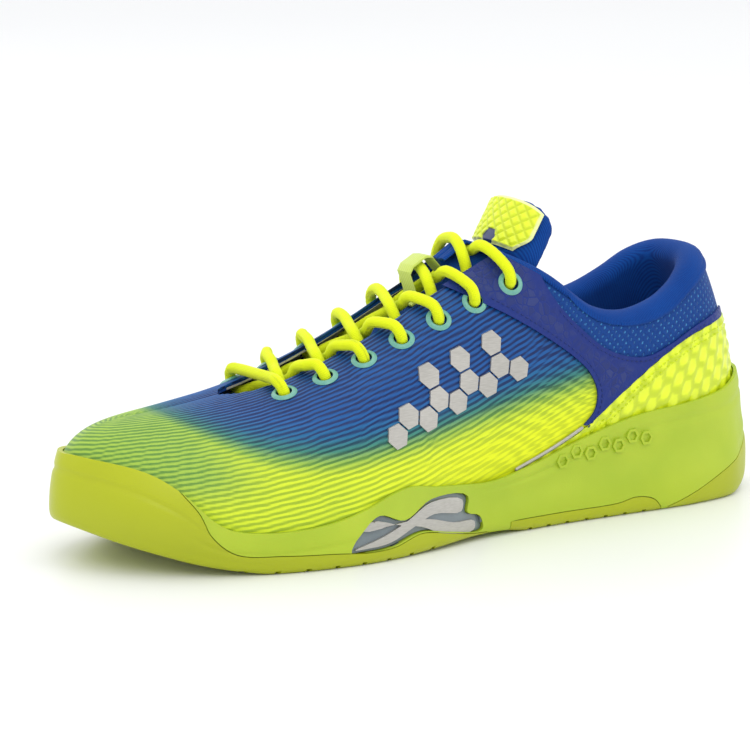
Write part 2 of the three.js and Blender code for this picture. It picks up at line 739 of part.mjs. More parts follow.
function soleParts() {
  const whole = block(0);
  const upperRoom = pocket();
  const outsoleCore = block(outsoleWall, outsoleThickness);
  const midsoleCore = block(outsoleWall + fit, outsoleThickness + fit);
  const piece = (line) => whole.intersect(sideRegion(soleDrawn(line))).subtract(outsoleCore)
    .subtract(upperRoom);
  const taken = Object.values(outsoleLines)
    .map((line) => sideRegion(grown(soleDrawn(line), fit)))
    .reduce((sum, region) => sum.add(region));
  const brace = block(braceSetIn).subtract(block(braceSetIn + braceThickness));
  const braceRoom = block(-2).subtract(block(braceSetIn + braceThickness + fit));
  const braceShape = soleDrawn(braceOutline);
  const braceCut = braceRoom.intersect(sideRegion(grown(braceShape, fit)));
  let body = whole.subtract(taken).add(midsoleCore).subtract(upperRoom).subtract(braceCut);
  const cushions = {};
  for (const [name, size] of Object.entries({ heel: heelCushion, fore: foreCushion })) {
    const top = Math.min(footbed(forward(size.at + 10)), footbed(forward(size.at))) - pocketDepth - fit;
    cushions[name] = cushionDrill(size, top, 0);
    body = body.subtract(cushionDrill({ ...size, depth: size.depth + 6 }, top + 6, fit));
  }
  const shank = body.intersect(shankBand(0)).intersect(block(0.8));
  const braces = [1, -1].map((side) => {
    const half = side > 0 ? [4, shoeWidth] : [-shoeWidth, -4];
    return brace.intersect(sideRegion(braceShape, ...half)).subtract(upperRoom);
  });
  const channel = topRegion([[forward(88), -11], [forward(140), -16], [forward(140), 16], [forward(88), 11]], -10,
    outsoleThickness + 3);
  return {
    midsole: body.subtract(shankBand(fit)),
    shank,
    braceLateral: braces[0],
    braceMedial: braces[1],
    outsoleForefoot: piece(outsoleLines.forefoot),
    outsoleHeel: piece(outsoleLines.heel).subtract(channel),
    crashPad: piece(outsoleLines.crash),
    cushions,
  };
}

// ---------------------------------------------------------------- tongue

const hinge = { d: 121, y: 2.2, z: 100 };
const hingePoint = new THREE.Vector3(forward(hinge.d), across(hinge.y), upward(hinge.z));
const padUp = new THREE.Vector3(-11, 0, 18.5).normalize();
const padOut = new THREE.Vector3(18.5, 0, 11).normalize();

// The tongue runs low enough for the lace to pass over it, and rises to the vamp at its front.
const tongueRise = (point) => smoothstep(drawn(point.x), 217, 230);
const tongueFace = (point) => lerp(tongueOut, -fit, tongueRise(point));
const tongueBack = (point) => tongueFace(point) - lerp(tongueThickness, tongueFrontThickness, tongueRise(point));

const tongueSide = [[100, 84], [124, 79], [150, 67], [182, 53.5], [215, 44], [236, 42]];
function tongueBase() {
  const edge = [[100, 40], [215, 40], [232, 24], [241, 12], [244, 0]];
  const side = (sign) => edge.map(([d, y]) => [forward(d), across(ridgeShift(d)) + sign * across(y)]);
  const plan = [...side(1), ...side(-1).reverse().slice(1)];
  const end = sideRegion([[hingePoint.x - 60, hingePoint.z + 20], [hingePoint.x + 12, hingePoint.z + 20],
    [hingePoint.x + fit, hingePoint.z], [hingePoint.x - 29, hingePoint.z - 50], [hingePoint.x - 60, 0]]);
  return layer(tongueBack, tongueFace).intersect(above(plan)).subtract(end).subtract(below(tongueSide));
}

// The padded top, a curved slab about the hinge line
function padPoint(along, angle, out) {
  const radius = tonguePadRadius + out;
  const point = hingePoint.clone().addScaledVector(padUp, along);
  point.addScaledVector(padOut, radius * Math.cos(angle) - tonguePadRadius);
  point.y += radius * Math.sin(angle);
  return point;
}

function padSheet(from, lengthAt, halfAngle, inner, outer, columns, rows) {
  const grid = (out) => Array.from({ length: columns + 1 }, (_, i) => {
    const angle = lerp(-halfAngle, halfAngle, i / columns);
    return Array.from({ length: rows + 1 }, (__, j) => padPoint(lerp(from, lengthAt(angle), j / rows), angle, out));
  });
  return sheet(grid(outer), grid(inner));
}

const padHalfAngle = THREE.MathUtils.degToRad(60);
const badgeHalfAngle = THREE.MathUtils.degToRad(46);
const padTop = (angle) => tonguePadLength * (1 - 0.28 * (angle / padHalfAngle) ** 4);

function tonguePad() {
  return padSheet(0.5, padTop, padHalfAngle, -tonguePadThickness, 0, 14, 4);
}

function tongueBadge() {
  return padSheet(2.4, (angle) => padTop(angle) - 2.6, badgeHalfAngle, fit, fit + badgeThickness, 12, 3);
}

// A webbing strap over the fifth crossing of the lace
function laceLoop() {
  const back = eyelets.lateral[eyeletCount - 2];
  const front = eyelets.lateral[eyeletCount - 3];
  const middle = (front.x + back.x) / 2;
  const half = Math.abs(front.x - back.x) / 2;
  const low = tongueOut + 2 * fit;
  const high = laceDiameter * 1.5 + 0.6;
  const route = [[-1.25, low], [-0.95, low], [-0.78, low + 3], [-0.62, high - 1.6], [-0.35, high],
    [0.35, high], [0.62, high - 1.6], [0.78, low + 3], [0.95, low], [1.25, low]];
  const grid = (extra) => [-1, 1].map((side) => route.map(([share, height]) => {
    const { a, h } = locate(middle + share * half, side * 0.5);
    const point = offsetPoint(a, h, height + extra);
    point.y = (side * loopWidth) / 2;
    return point;
  }));
  return sheet(grid(loopThickness), grid(0));
}

// ---------------------------------------------------------------- lacing

// The lace goes round the flap between its hole and the lace gap.
function turnPoint(hole, angle) {
  const radius = laceRadius + hole.outside / 2 + (hole.last ? 1.2 : 1.35);
  const centre = hole.point.clone().addScaledVector(hole.toGap, radius - 0.2)
    .addScaledVector(hole.normal, hole.outside / 2);
  return centre.addScaledVector(hole.normal, radius * Math.cos(angle))
    .addScaledVector(hole.toGap, -radius * Math.sin(angle));
}
const turnAngles = [0, 45, 90, 135, 180].map(THREE.MathUtils.degToRad);

function gapPoint(from, to, share, height) {
  const { a, h } = locate(lerp(from.x, to.x, share), lerp(from.y, to.y, share));
  return offsetPoint(a, h, height);
}

// Heights over the form, by the share of the way from one hole to the next one across
const inside = -(laceRadius + 1.1);
const outsideHeight = (hole) => hole.outside + laceRadius + 1;
const overStrand = (next) => [[0.2, inside], [0.36, 2.7], [0.5, 3.7], [0.64, 4.6], [0.8, outsideHeight(next)]];
const underStrand = (next) => [[0.2, inside], [0.36, inside + 0.2], [0.5, -2], [0.62, -0.2],
  [0.72, outsideHeight(next) - 1.2], [0.82, outsideHeight(next)]];

function halfLace(start) {
  const other = start === 'lateral' ? 'medial' : 'lateral';
  const heights = start === 'lateral' ? [overStrand, underStrand] : [underStrand, overStrand];
  const points = [];
  for (let i = 0; i < eyeletCount; i += 1) {
    const hole = eyelets[i % 2 ? other : start][i];
    if (hole.last) {
      points.push(...turnAngles.slice(0, 3).map((angle) => turnPoint(hole, angle)));
      points.push(hole.point.clone().addScaledVector(hole.normal, -1.9).addScaledVector(hole.toGap, -0.5));
      points.push(hole.point.clone().addScaledVector(hole.normal, inside).addScaledVector(hole.toGap, -2.4));
      points.push(hole.point.clone().addScaledVector(hole.normal, inside).addScaledVector(hole.toGap, -5));
    } else {
      const next = eyelets[i % 2 ? start : other][i + 1];
      points.push(...turnAngles.map((angle) => turnPoint(hole, angle)));
      points.push(...heights[i % 2](next).map(([share, height]) => gapPoint(hole, next, share, height)));
    }
  }
  return points;
}

// A curve whose samples fall on the points that it is drawn through
class PointByPointCurve extends THREE.CatmullRomCurve3 {
  getUtoTmapping(u) {
    return u;
  }
}

function tube(points, diameter, sides, stepsPerPoint) {
  const radius = diameter / 2;
  const shape = new THREE.Shape(Array.from({ length: sides }, (_, k) => {
    const angle = (2 * Math.PI * k) / sides;
    return new THREE.Vector2(radius * Math.cos(angle), radius * Math.sin(angle));
  }));
  const extrudePath = new PointByPointCurve(points, false, 'centripetal');
  const steps = (points.length - 1) * stepsPerPoint;
  return solid(new THREE.ExtrudeGeometry(shape, { steps, extrudePath }));
}

function lacePoints() {
  const bottom = [eyelets.lateral[0], eyelets.medial[0]];
  const bar = [0.2, 0.5, 0.8].map((share) => gapPoint(...bottom, share, outsideHeight(bottom[0])));
  return [...halfLace('lateral').reverse(), ...bar, ...halfLace('medial')];
}
const laceRoute = lacePoints();

// The free ends, tucked inside: down beside the foot, then along the insole
const lateralTail = [[118.5, 23.6, 79], [117, 26.2, 71], [115, 27.1, 60], [111, 27.2, 48], [105, 26.8, 37],
  [96, 26.2, 31.4], [84, 25.8, 30.2], [70, 25.3, 29.9], [54, 24.8, 29.9], [43, 23.2, 29.9], [36, 19, 29.9],
  [32.5, 13.6, 29.9]];
const medialTail = [[118, -20, 79], [117.5, -21.9, 70], [118, -23.2, 60], [119, -23.9, 49], [121, -24, 38],
  [126, -23.6, 30.4], [134, -23.2, 27], [146, -24.5, 25.3], [158, -27.5, 23.8], [170, -31, 22.4],
  [181, -34, 21.7]];

function tailRoute(end, beforeEnd, places) {
  const along = end.clone().sub(beforeEnd).normalize();
  const start = end.clone().addScaledVector(along, fit);
  const leave = end.clone().addScaledVector(along, 1.5);
  return [start, leave, ...places.map(([d, y, z]) => new THREE.Vector3(forward(d), across(y), upward(z)))];
}

function aglet(route) {
  const end = route[route.length - 1];
  const along = end.clone().sub(route[route.length - 2]).normalize();
  const geometry = new THREE.CylinderGeometry(agletDiameter / 2, agletDiameter / 2, agletLength, 12);
  geometry.applyQuaternion(new THREE.Quaternion().setFromUnitVectors(new THREE.Vector3(0, 1, 0), along));
  const middle = end.clone().addScaledVector(along, fit + agletLength / 2);
  geometry.translate(middle.x, middle.y, middle.z);
  return solid(geometry);
}

// ---------------------------------------------------------------- the shoe

const sole = soleParts();
add('midsole', 'lime', sole.midsole);
add('outsole_forefoot', 'olive', sole.outsoleForefoot);
add('outsole_heel', 'olive', sole.outsoleHeel);
add('outsole_crash_pad', 'olive', sole.crashPad);
add('shank_plate', 'grey', sole.shank);
add('shank_brace_lateral', 'silver', sole.braceLateral);
add('shank_brace_medial', 'silver', sole.braceMedial);
add('heel_cushion', 'gel', sole.cushions.heel);
add('forefoot_cushion', 'gel', sole.cushions.fore);

const strobelTop = -fit;
add('strobel_board', 'board', footPlate(-shellOut, strobelTop - strobelThickness, strobelTop));
add('insole', 'insole', footPlate(-rearLiningIn + 0.5, fit, insoleThickness));

add('vamp_shell', 'vamp', vampShell());
add('vamp_lining', 'blueFabric', vampLining());
add('eyestay_lateral', 'stiffener', eyestay(1));
add('eyestay_medial', 'stiffener', eyestay(-1));
add('toe_puff', 'stiffener', toePuff());
add('heel_counter', 'stiffener', heelCounter());
add('collar_foam', 'foam', collarFoam());
add('collar_lining', 'blueFabric', collarLining());
add('collar_mesh', 'mesh', collarMesh());
add('quarter_overlay_lateral', 'navy', quarterOverlay(1));
add('quarter_overlay_medial', 'navy', quarterOverlay(-1));
add('heel_panel', 'yellow', heelPanel());
add('heel_badge', 'silver', heelBadge());
add('side_film_lateral', 'silver', sideFilm(1));
add('side_film_medial', 'silver', sideFilm(-1));

add('tongue_base', 'blueFabric', tongueBase());
add('tongue_top_pad', 'blueFabric', tonguePad());
add('tongue_badge', 'yellow', tongueBadge());
add('tongue_lace_loop', 'yellow', laceLoop());

add('lace', 'lace', tube(laceRoute, laceDiameter, 6, 1));
const tails = {
  lateral: tailRoute(laceRoute[0], laceRoute[1], lateralTail),
  medial: tailRoute(laceRoute[laceRoute.length - 1], laceRoute[laceRoute.length - 2], medialTail),
};
for (const [side, route] of Object.entries(tails)) {
  add(`lace_tail_${side}`, 'lace', tube(route, laceDiameter, 8, 2));
  add(`aglet_${side}`, 'clear', aglet(route));
}

export default shoe;
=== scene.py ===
import json
import math

import bmesh
import bpy
import numpy as np
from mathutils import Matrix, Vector, kdtree


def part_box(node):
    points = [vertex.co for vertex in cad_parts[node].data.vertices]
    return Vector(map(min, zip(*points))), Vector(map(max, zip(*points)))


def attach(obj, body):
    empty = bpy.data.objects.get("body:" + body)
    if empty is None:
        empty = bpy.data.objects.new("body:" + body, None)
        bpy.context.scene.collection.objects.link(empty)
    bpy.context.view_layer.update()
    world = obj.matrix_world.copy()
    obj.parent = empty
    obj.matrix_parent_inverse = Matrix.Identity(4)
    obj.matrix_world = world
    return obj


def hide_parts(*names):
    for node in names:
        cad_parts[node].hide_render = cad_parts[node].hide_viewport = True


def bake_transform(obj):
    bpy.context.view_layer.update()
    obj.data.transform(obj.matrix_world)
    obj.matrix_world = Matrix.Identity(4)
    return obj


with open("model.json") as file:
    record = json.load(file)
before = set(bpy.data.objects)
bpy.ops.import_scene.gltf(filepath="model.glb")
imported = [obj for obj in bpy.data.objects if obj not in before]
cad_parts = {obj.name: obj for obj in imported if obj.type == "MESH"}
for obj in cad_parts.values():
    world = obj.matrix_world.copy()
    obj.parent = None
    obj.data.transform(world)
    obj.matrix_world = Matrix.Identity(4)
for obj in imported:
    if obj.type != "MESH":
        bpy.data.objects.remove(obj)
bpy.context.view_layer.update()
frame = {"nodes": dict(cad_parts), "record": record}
MM = 0.001

# ------------------------------------------------------------------ camera and lights


def place_camera(azimuth, elevation, distance, lens, shift):
    az, el = math.radians(azimuth), math.radians(elevation)
    back = Vector((math.sin(az) * math.cos(el), math.cos(az) * math.cos(el), math.sin(el)))
    camera = bpy.data.objects.new("camera", bpy.data.cameras.new("camera"))
    bpy.context.scene.collection.objects.link(camera)
    camera.location = Vector((0, 0, 0.05)) + back * distance
    camera.rotation_euler = (-back).to_track_quat("-Z", "Y").to_euler()
    camera.data.lens = lens
    camera.data.shift_x, camera.data.shift_y = shift
    camera.data.clip_end = 20
    bpy.context.scene.camera = camera


def area_light(name, place, target, size, power, color=(1, 1, 1)):
    lamp = bpy.data.lights.new(name, "AREA")
    lamp.shape = "RECTANGLE"
    lamp.size, lamp.size_y = size
    lamp.energy = power
    lamp.color = color
    obj = bpy.data.objects.new(name, lamp)
    bpy.context.scene.collection.objects.link(obj)
    obj.location = place
    obj.rotation_euler = (Vector(target) - Vector(place)).to_track_quat("-Z", "Y").to_euler()


place_camera(azimuth=32.42, elevation=11.1, distance=1.4, lens=176.6, shift=(-0.052, 0.0227))
bpy.context.scene.view_settings.view_transform = "Standard"
area_light("key_softbox", (0.9, 1.5, 1.5), (0, 0, 0.05), (1.2, 1.0), 6.5)
area_light("top_softbox", (-0.2, 0.1, 1.6), (0, 0, 0.05), (1.6, 1.2), 5)
area_light("fill_softbox", (-1.6, 1.1, 0.8), (0, 0, 0.06), (1.2, 1.0), 3)
area_light("rim_softbox", (0.4, -1.4, 1.0), (0, 0, 0.06), (1.4, 0.8), 4)

# ------------------------------------------------------------------ lacing, in millimetres

LACE = 4.4
LACE_ROUTE = [
    [-29.1, 22.6, 86], [-28.4, 21.3, 88.2], [-27.7, 21.5, 90.4], [-27, 24.4, 92.3], [-26.1, 26.7, 95.2],
    [-25, 26.2, 98.9], [-22.3, 19.3, 104.8], [-20.8, 13.6, 106.6], [-21.5, 6.8, 103.7],
    [-20.7, 1.9, 102.7], [-18.9, -2.9, 98.4], [-16.2, -8.9, 92.9], [-11.2, -14, 85.5], [-12, -16.8, 83.5],
    [-11.8, -20.3, 83.9], [-10.8, -22.4, 86.6], [-9.6, -21.9, 89.8], [-6.8, -13.7, 96.3],
    [-3.9, -5.3, 98.5], [-1.9, 1.9, 97.7], [-0.2, 8.6, 94.7], [-0.2, 13.5, 85.9], [4.6, 17.8, 81.3],
    [4.2, 21, 80], [4.6, 24.3, 81.3], [5.7, 25.6, 84.4], [6.8, 24.3, 87.5], [9.4, 17.5, 89.6],
    [10.6, 11.9, 89.5], [10, 6.7, 85.7], [10.8, 1.4, 83.2], [12.4, -4.3, 80.3], [15, -10.5, 76.6],
    [19.5, -15, 72.2], [19.1, -18.3, 70.9], [19.5, -21.5, 72.2], [20.4, -22.9, 75.3], [21.4, -21.5, 78.4],
    [24.7, -14, 80.7], [27.3, -5.8, 80.6], [29.2, 0.6, 78.8], [30.9, 6.7, 76.9], [30.8, 12.9, 69.6],
    [34.9, 16.5, 66.9], [34.9, 20, 66.9], [35.9, 22.5, 69.1], [37.3, 22.6, 72.4], [38.3, 20.1, 74.6],
    [40.3, 14.7, 74.4], [41.3, 9.7, 73.2], [40.9, 4.9, 68.7], [41.9, -0.4, 65.9], [43.5, -6.6, 64],
    [45.9, -13.2, 61.9], [49.7, -17.3, 59.4], [49.6, -20.8, 59], [50.2, -23.5, 61.1], [51.2, -23.9, 64.5],
    [52, -21.7, 67.1], [55, -16.2, 67.2], [57.5, -8.9, 66.5], [59.5, -3.3, 64.6], [61.4, 2.1, 63.3],
    [62, 8.3, 56.7], [65.5, 11.3, 55.2], [65.7, 14.7, 55.8], [66.7, 16.7, 58.5], [67.8, 16.1, 61.8],
    [68.4, 13.2, 63.7], [67.8, 8.7, 63.8], [67.5, -3.6, 63.5], [67.1, -16.4, 63.1], [67.2, -21.6, 62.5],
    [66.6, -24.1, 60], [65.7, -24, 56.6], [65.1, -21.5, 54.2], [65.1, -18, 54.3], [61.6, -14.3, 56.1],
    [59.2, -7.9, 57.7], [57.5, -1.8, 59.4], [56.3, 3.3, 62.1], [56.4, 7.8, 66.7], [55.4, 12.5, 68],
    [53.4, 17, 68.7], [52.5, 19.8, 66.7], [51.2, 20.2, 63.5], [50.2, 18, 60.9], [50, 14.5, 60.6],
    [46.3, 11.1, 62.7], [46.1, 4.7, 69.5], [44.3, -1.1, 71], [42.4, -7.1, 73], [39.9, -14.9, 73.4],
    [36.8, -21.5, 72.5], [35.9, -23.3, 69.6], [34.9, -22.5, 66.3], [34.3, -19.5, 64.6],
    [34.6, -16.1, 65.4], [30.4, -11.8, 68.7], [28, -5.3, 71.6], [26.4, 0.8, 73.8], [25.5, 6.1, 76.6],
    [26.1, 11.1, 80.8], [25.1, 16.4, 81.7], [22.9, 22.5, 81.1], [21.7, 24.5, 78.5], [20.4, 23.9, 75.3],
    [19.6, 21, 73.5], [19.8, 17.5, 74], [15.3, 13.7, 77.6], [15.6, 8, 85.6], [13.9, 1.6, 88],
    [12, -5.1, 89.5], [9.2, -13.5, 88.7], [5.8, -21.7, 84.4], [4.8, -22.5, 81.1], [3.9, -20.6, 78.2],
    [3.6, -17.2, 77.5], [4.2, -14.2, 79.2], [-0.5, -9.4, 85.1], [-3.1, -3.4, 89.5], [-4.8, 1.8, 92.9],
    [-5.8, 6.8, 94.7], [-5.5, 12.6, 97.8], [-6.8, 18.2, 96.9], [-9.4, 25.1, 92.9], [-10.4, 25.9, 89.6],
    [-11.3, 24.1, 86.7], [-11.6, 20.7, 85.9], [-11, 17.7, 87.6], [-15.9, 12.9, 93.5], [-16, 8.7, 103.2],
    [-17.5, 1.7, 107.4], [-19.6, -6, 107.1], [-22, -15, 104.5], [-24.7, -23.1, 96.4], [-26.2, -23.5, 92.9],
    [-27.3, -21, 90.2], [-28.1, -18, 88.5], [-29, -17.6, 86.4], [-30, -18.8, 84.3],
]
TAILS = {
    "lateral": [
        [-29.15, 22.75, 85.8], [-29.47, 23.35, 84.81], [-30.5, 23.6, 79], [-32, 26.2, 71], [-34, 27.1, 60],
        [-38, 27.2, 48], [-44, 26.8, 37], [-53, 26.2, 31.4], [-65, 25.8, 30.2], [-79, 25.3, 29.9],
        [-95, 24.8, 29.9], [-106, 23.2, 29.9], [-113, 19, 29.9], [-116.5, 13.6, 29.9],
    ],
    "medial": [
        [-30.06, -18.97, 84.03], [-30.49, -19.52, 83.05], [-31, -20, 79], [-31.5, -21.9, 70],
        [-31, -23.2, 60], [-30, -23.9, 49], [-28, -24, 38], [-23, -23.6, 30.4], [-15, -23.2, 27],
        [-3, -24.5, 25.3], [9, -27.5, 23.8], [21, -31, 22.4], [32, -34, 21.7],
    ],
}
# Each hole: its middle, the way out of it, and the way to the lace gap
EYELETS = {
    "lateral": [
        [[66.3, 16.3, 57.6], [0.319, 0.208, 0.925], [0.068, -0.978, 0.197], 2.1],
        [[50.8, 19.7, 62.6], [0.366, 0.277, 0.888], [0.106, -0.961, 0.256], 2.1],
        [[35.5, 21.9, 68.3], [0.373, 0.389, 0.842], [0.157, -0.921, 0.355], 2.1],
        [[20.1, 23.1, 74.6], [0.335, 0.538, 0.774], [0.214, -0.843, 0.494], 2.1],
        [[4.4, 23.4, 80.8], [0.238, 0.705, 0.667], [0.237, -0.709, 0.664], 2.1],
        [[-11.4, 23.2, 86.3], [0.179, 0.804, 0.567], [0.242, -0.595, 0.767], 2.1],
        [[-27.2, 22.9, 91.7], [0.154, 0.864, 0.479], [0.264, -0.503, 0.823], 3.2],
    ],
    "medial": [
        [[65.5, -23.4, 55.7], [0.226, -0.396, 0.89], [0.097, 0.918, 0.383], 2.1],
        [[50, -22.8, 60.3], [0.245, -0.478, 0.844], [0.133, 0.879, 0.459], 2.1],
        [[34.7, -21.7, 65.7], [0.238, -0.594, 0.769], [0.175, 0.805, 0.567], 2.1],
        [[19.3, -20.6, 71.6], [0.213, -0.709, 0.672], [0.214, 0.705, 0.676], 2.1],
        [[3.8, -19.7, 77.8], [0.177, -0.809, 0.56], [0.244, 0.588, 0.771], 2.1],
        [[-11.9, -19.3, 83.6], [0.176, -0.862, 0.476], [0.299, 0.508, 0.808], 2.1],
        [[-27.6, -19.5, 89.7], [0.184, -0.888, 0.421], [0.355, 0.459, 0.814], 3.2],
    ],
}

# ------------------------------------------------------------------ curves and profiles


def profile(points):
    """A smooth curve through [place, value] points, flat beyond its ends."""
    place, value = np.array(points, float).T
    rise = np.diff(value)
    slope = np.empty(len(place))
    slope[1:-1] = (value[2:] - value[:-2]) / (place[2:] - place[:-2])
    slope[1:-1][rise[:-1] * rise[1:] <= 0] = 0
    slope[0] = rise[0] / (place[1] - place[0])
    slope[-1] = rise[-1] / (place[-1] - place[-2])

    def at(x):
        x = np.clip(x, place[0], place[-1])
        i = np.clip(np.searchsorted(place, x, side="left") - 1, 0, len(place) - 2)
        span = place[i + 1] - place[i]
        t = (x - place[i]) / span
        c = slope[i] * span - rise[i]
        d = rise[i] - slope[i + 1] * span
        return value[i] + rise[i] * t + t * (1 - t) * (c * (1 - t) + d * t)

    return at


def smoothstep(x, low, high):
    t = np.clip((x - low) / (high - low), 0, 1)
    return t * t * (3 - 2 * t)


def catmull(points, steps, closed=False):
    """Points along a smooth line through the given ones, the same number in each stretch."""
    p = np.array(points, float)
    if closed:
        p = np.vstack([p[-1:], p, p[:2]])
    else:
        p = np.vstack([2 * p[:1] - p[1:2], p, 2 * p[-1:] - p[-2:-1]])
    gap = np.sqrt(np.maximum(np.linalg.norm(np.diff(p, axis=0), axis=1), 1e-6))[:, None]
    x0, x1, x2, x3 = p[:-3], p[1:-2], p[2:-1], p[3:]
    d0, d1, d2 = gap[:-2], gap[1:-1], gap[2:]
    t1 = ((x1 - x0) / d0 - (x2 - x0) / (d0 + d1) + (x2 - x1) / d1) * d1
    t2 = ((x2 - x1) / d1 - (x3 - x1) / (d1 + d2) + (x3 - x2) / d2) * d1
    t = (np.arange(steps) / steps)[None, :, None]
    c2 = (-3 * x1 + 3 * x2 - 2 * t1 - t2)[:, None]
    c3 = (2 * x1 - 2 * x2 + t1 + t2)[:, None]
    line = (x1[:, None] + t1[:, None] * t + c2 * t ** 2 + c3 * t ** 3).reshape(-1, p.shape[1])
    return line if closed else np.vstack([line, p[-2:-1]])


def lengths(line):
    return np.concatenate([[0], np.cumsum(np.linalg.norm(np.diff(line, axis=0), axis=1))])


def resampled(line, count):
    run = lengths(line)
    at = np.linspace(0, run[-1], count)
    return np.stack([np.interp(at, run, line[:, k]) for k in range(line.shape[1])], -1)


# ------------------------------------------------------------------ form of the foot
# Drawn places are measured forward from the back of the heel, from the middle line, and from the floor.

LENGTH = 298


def forward(d):
    return np.asarray(d, float) - LENGTH / 2


def drawn(x):
    return np.asarray(x, float) + LENGTH / 2


UPPER_LATERAL = [[8, 0], [11, 14], [22, 25], [42, 30], [75, 31], [110, 32], [145, 36], [180, 43.5],
                 [210, 47], [238, 44], [262, 34], [281, 17], [290, -8]]
UPPER_MEDIAL = [[11, -14], [22, -24], [42, -29], [75, -28.5], [110, -28], [145, -29.5], [180, -37],
                [210, -44.5], [235, -46], [258, -41.5], [276, -31], [287, -19]]
SOLE_LATERAL = [[0, 0], [4, 18], [18, 31], [42, 37], [75, 37.5], [108, 38], [140, 41.5], [170, 48.5],
                [200, 53], [228, 50.5], [256, 41], [280, 24], [294, 5], [298, -10]]
SOLE_MEDIAL = [[4, -18], [18, -30], [42, -35.5], [75, -35], [108, -34], [140, -35.5], [170, -43],
               [200, -51], [226, -53], [252, -48.5], [275, -38.5], [291, -25]]
FINE = 64


class PlanLine:
    """A closed line seen from above. Its points go by side and by the share of the way from heel to toe."""

    def __init__(self, lateral, medial):
        ring = np.array(lateral + medial[::-1], float)
        ring[:, 0] = forward(ring[:, 0])
        line = catmull(ring, FINE, closed=True)
        self.line = np.vstack([line, line[:1]])
        self.run = lengths(self.line)
        self.toe = self.run[(len(lateral) - 1) * FINE] / self.run[-1]

    def at(self, a):
        share = np.where(a >= 0, a * self.toe, 1 + a * (1 - self.toe)) * self.run[-1]
        return np.stack([np.interp(share, self.run, self.line[:, k]) for k in range(2)], -1)


upper_plan = PlanLine(UPPER_LATERAL, UPPER_MEDIAL)
sole_plan = PlanLine(SOLE_LATERAL, SOLE_MEDIAL)
footbed = profile([[90, 22], [130, 19], [170, 14.5], [200, 12.5], [235, 12], [262, 15], [290, 21]])
ground = profile([[0, 12], [5, 6], [12, 1.8], [20, 0], [120, 0], [133, 1.5], [145, 1.8], [168, 0.8],
                  [190, 0], [237, 0], [250, 1.5], [263, 4], [275, 7.5], [287, 11.5], [298, 16]])
midsole_top = profile([[-5, 50], [5, 48], [20, 43], [40, 40.5], [59, 39], [74, 36.5], [96, 31],
                       [118, 25], [141, 21.5], [167, 23.5], [181, 25.5], [191, 24], [204, 20], [219, 16.8],
                       [238, 15.5], [255, 17], [262, 21], [271, 30], [283, 37.5], [298, 41.5]])
ridge_height = profile([[75, 148], [95, 127], [112, 115], [124, 108], [137, 99.5], [152, 90.5],
                        [167, 81], [182, 72.5], [200, 64], [218, 57.5], [240, 53], [262, 50]])
ridge_share = profile([[0, 0], [0.15, 0.06], [0.3, 0.2], [0.5, 0.42], [0.75, 0.74], [1, 1]])
ridge_shift = profile([[95, 0], [125, 1.5], [165, 1], [200, -2], [262, -11]])
wall_rise = profile([[0, 0.42], [0.15, 0.56], [0.35, 0.72], [0.6, 0.68], [0.85, 0.62], [1, 0.75]])
crown_width = profile([[0, 0.45], [0.15, 0.62], [0.35, 0.74], [0.55, 0.64], [0.75, 0.54],
                       [0.88, 0.58], [1, 0.85]])
wall_bulge = profile([[0, 3], [0.1, 2], [0.85, 2.5], [1, 8]])


def form(a, h):
    """A point of the foot's form: a is 0 at the heel and 1 or -1 at the toe, by the outer or the inner side;
    h is 0 at the footbed and 1 on the ridge."""
    a, h = np.broadcast_arrays(np.asarray(a, float), np.asarray(h, float))
    a = (a + 1) % 2 - 1
    u = np.abs(a)
    plan = upper_plan.at(a)
    base = np.concatenate([plan, footbed(drawn(plan[..., :1]))], -1)
    d = 75 + (262 - 75) * ridge_share(u)
    top = np.stack([forward(d), ridge_shift(d), ridge_height(d)], -1)
    outwards = (base - top) * [1, 1, 0]
    wall = base + outwards / np.linalg.norm(outwards, axis=-1, keepdims=True) * wall_bulge(u)[..., None]
    wall[..., 2] += (top - base)[..., 2] * wall_rise(u)
    crown = top + outwards * crown_width(u)[..., None]
    h = h[..., None]
    k = 1 - h
    return k ** 3 * base + 3 * k * k * h * wall + 3 * k * h * h * crown + h ** 3 * top


def unit(v):
    return v / np.maximum(np.linalg.norm(v, axis=-1, keepdims=True), 1e-9)


def one_side_normal(a, h):
    step = 0.004
    return unit(np.cross(form(a, h + step) - form(a, h - step), form(a + step, h) - form(a - step, h)))


def form_normal(a, h):
    a, h = np.broadcast_arrays(np.asarray(a, float), np.asarray(h, float))
    low = one_side_normal(a, np.clip(h, 0.01, 0.985))
    ridge = unit(one_side_normal(a, 0.985) + one_side_normal(-a, 0.985))
    return np.where((h > 0.985)[..., None], ridge, low)


def offset(a, h, distance):
    normal = form_normal(a, h)
    level = unit(normal * [1, 1, 0])
    flat = (np.broadcast_to(h, normal.shape[:-1]) <= 0)[..., None]
    normal = np.where(flat, level, normal)
    return form(a, h) + normal * np.broadcast_to(distance, normal.shape[:-1])[..., None]


def share_at(a, test):
    """The share h at which test(point) turns positive, on each rib."""
    a = np.asarray(a, float)
    low, high = np.zeros(a.shape), np.ones(a.shape)
    for _ in range(26):
        middle = (low + high) / 2
        above = test(form(a, middle)) > 0
        high = np.where(above, middle, high)
        low = np.where(above, low, middle)
    return low


def side_line(points, steps=6):
    """A line seen from the side, as a height for each place along the shoe."""
    line = catmull(points, steps)
    return forward(line[:, 0]), line[:, 1]


_u = np.linspace(0.004, 0.996, 260)
_h = np.linspace(0.002, 0.998, 200)
_side_maps = {}


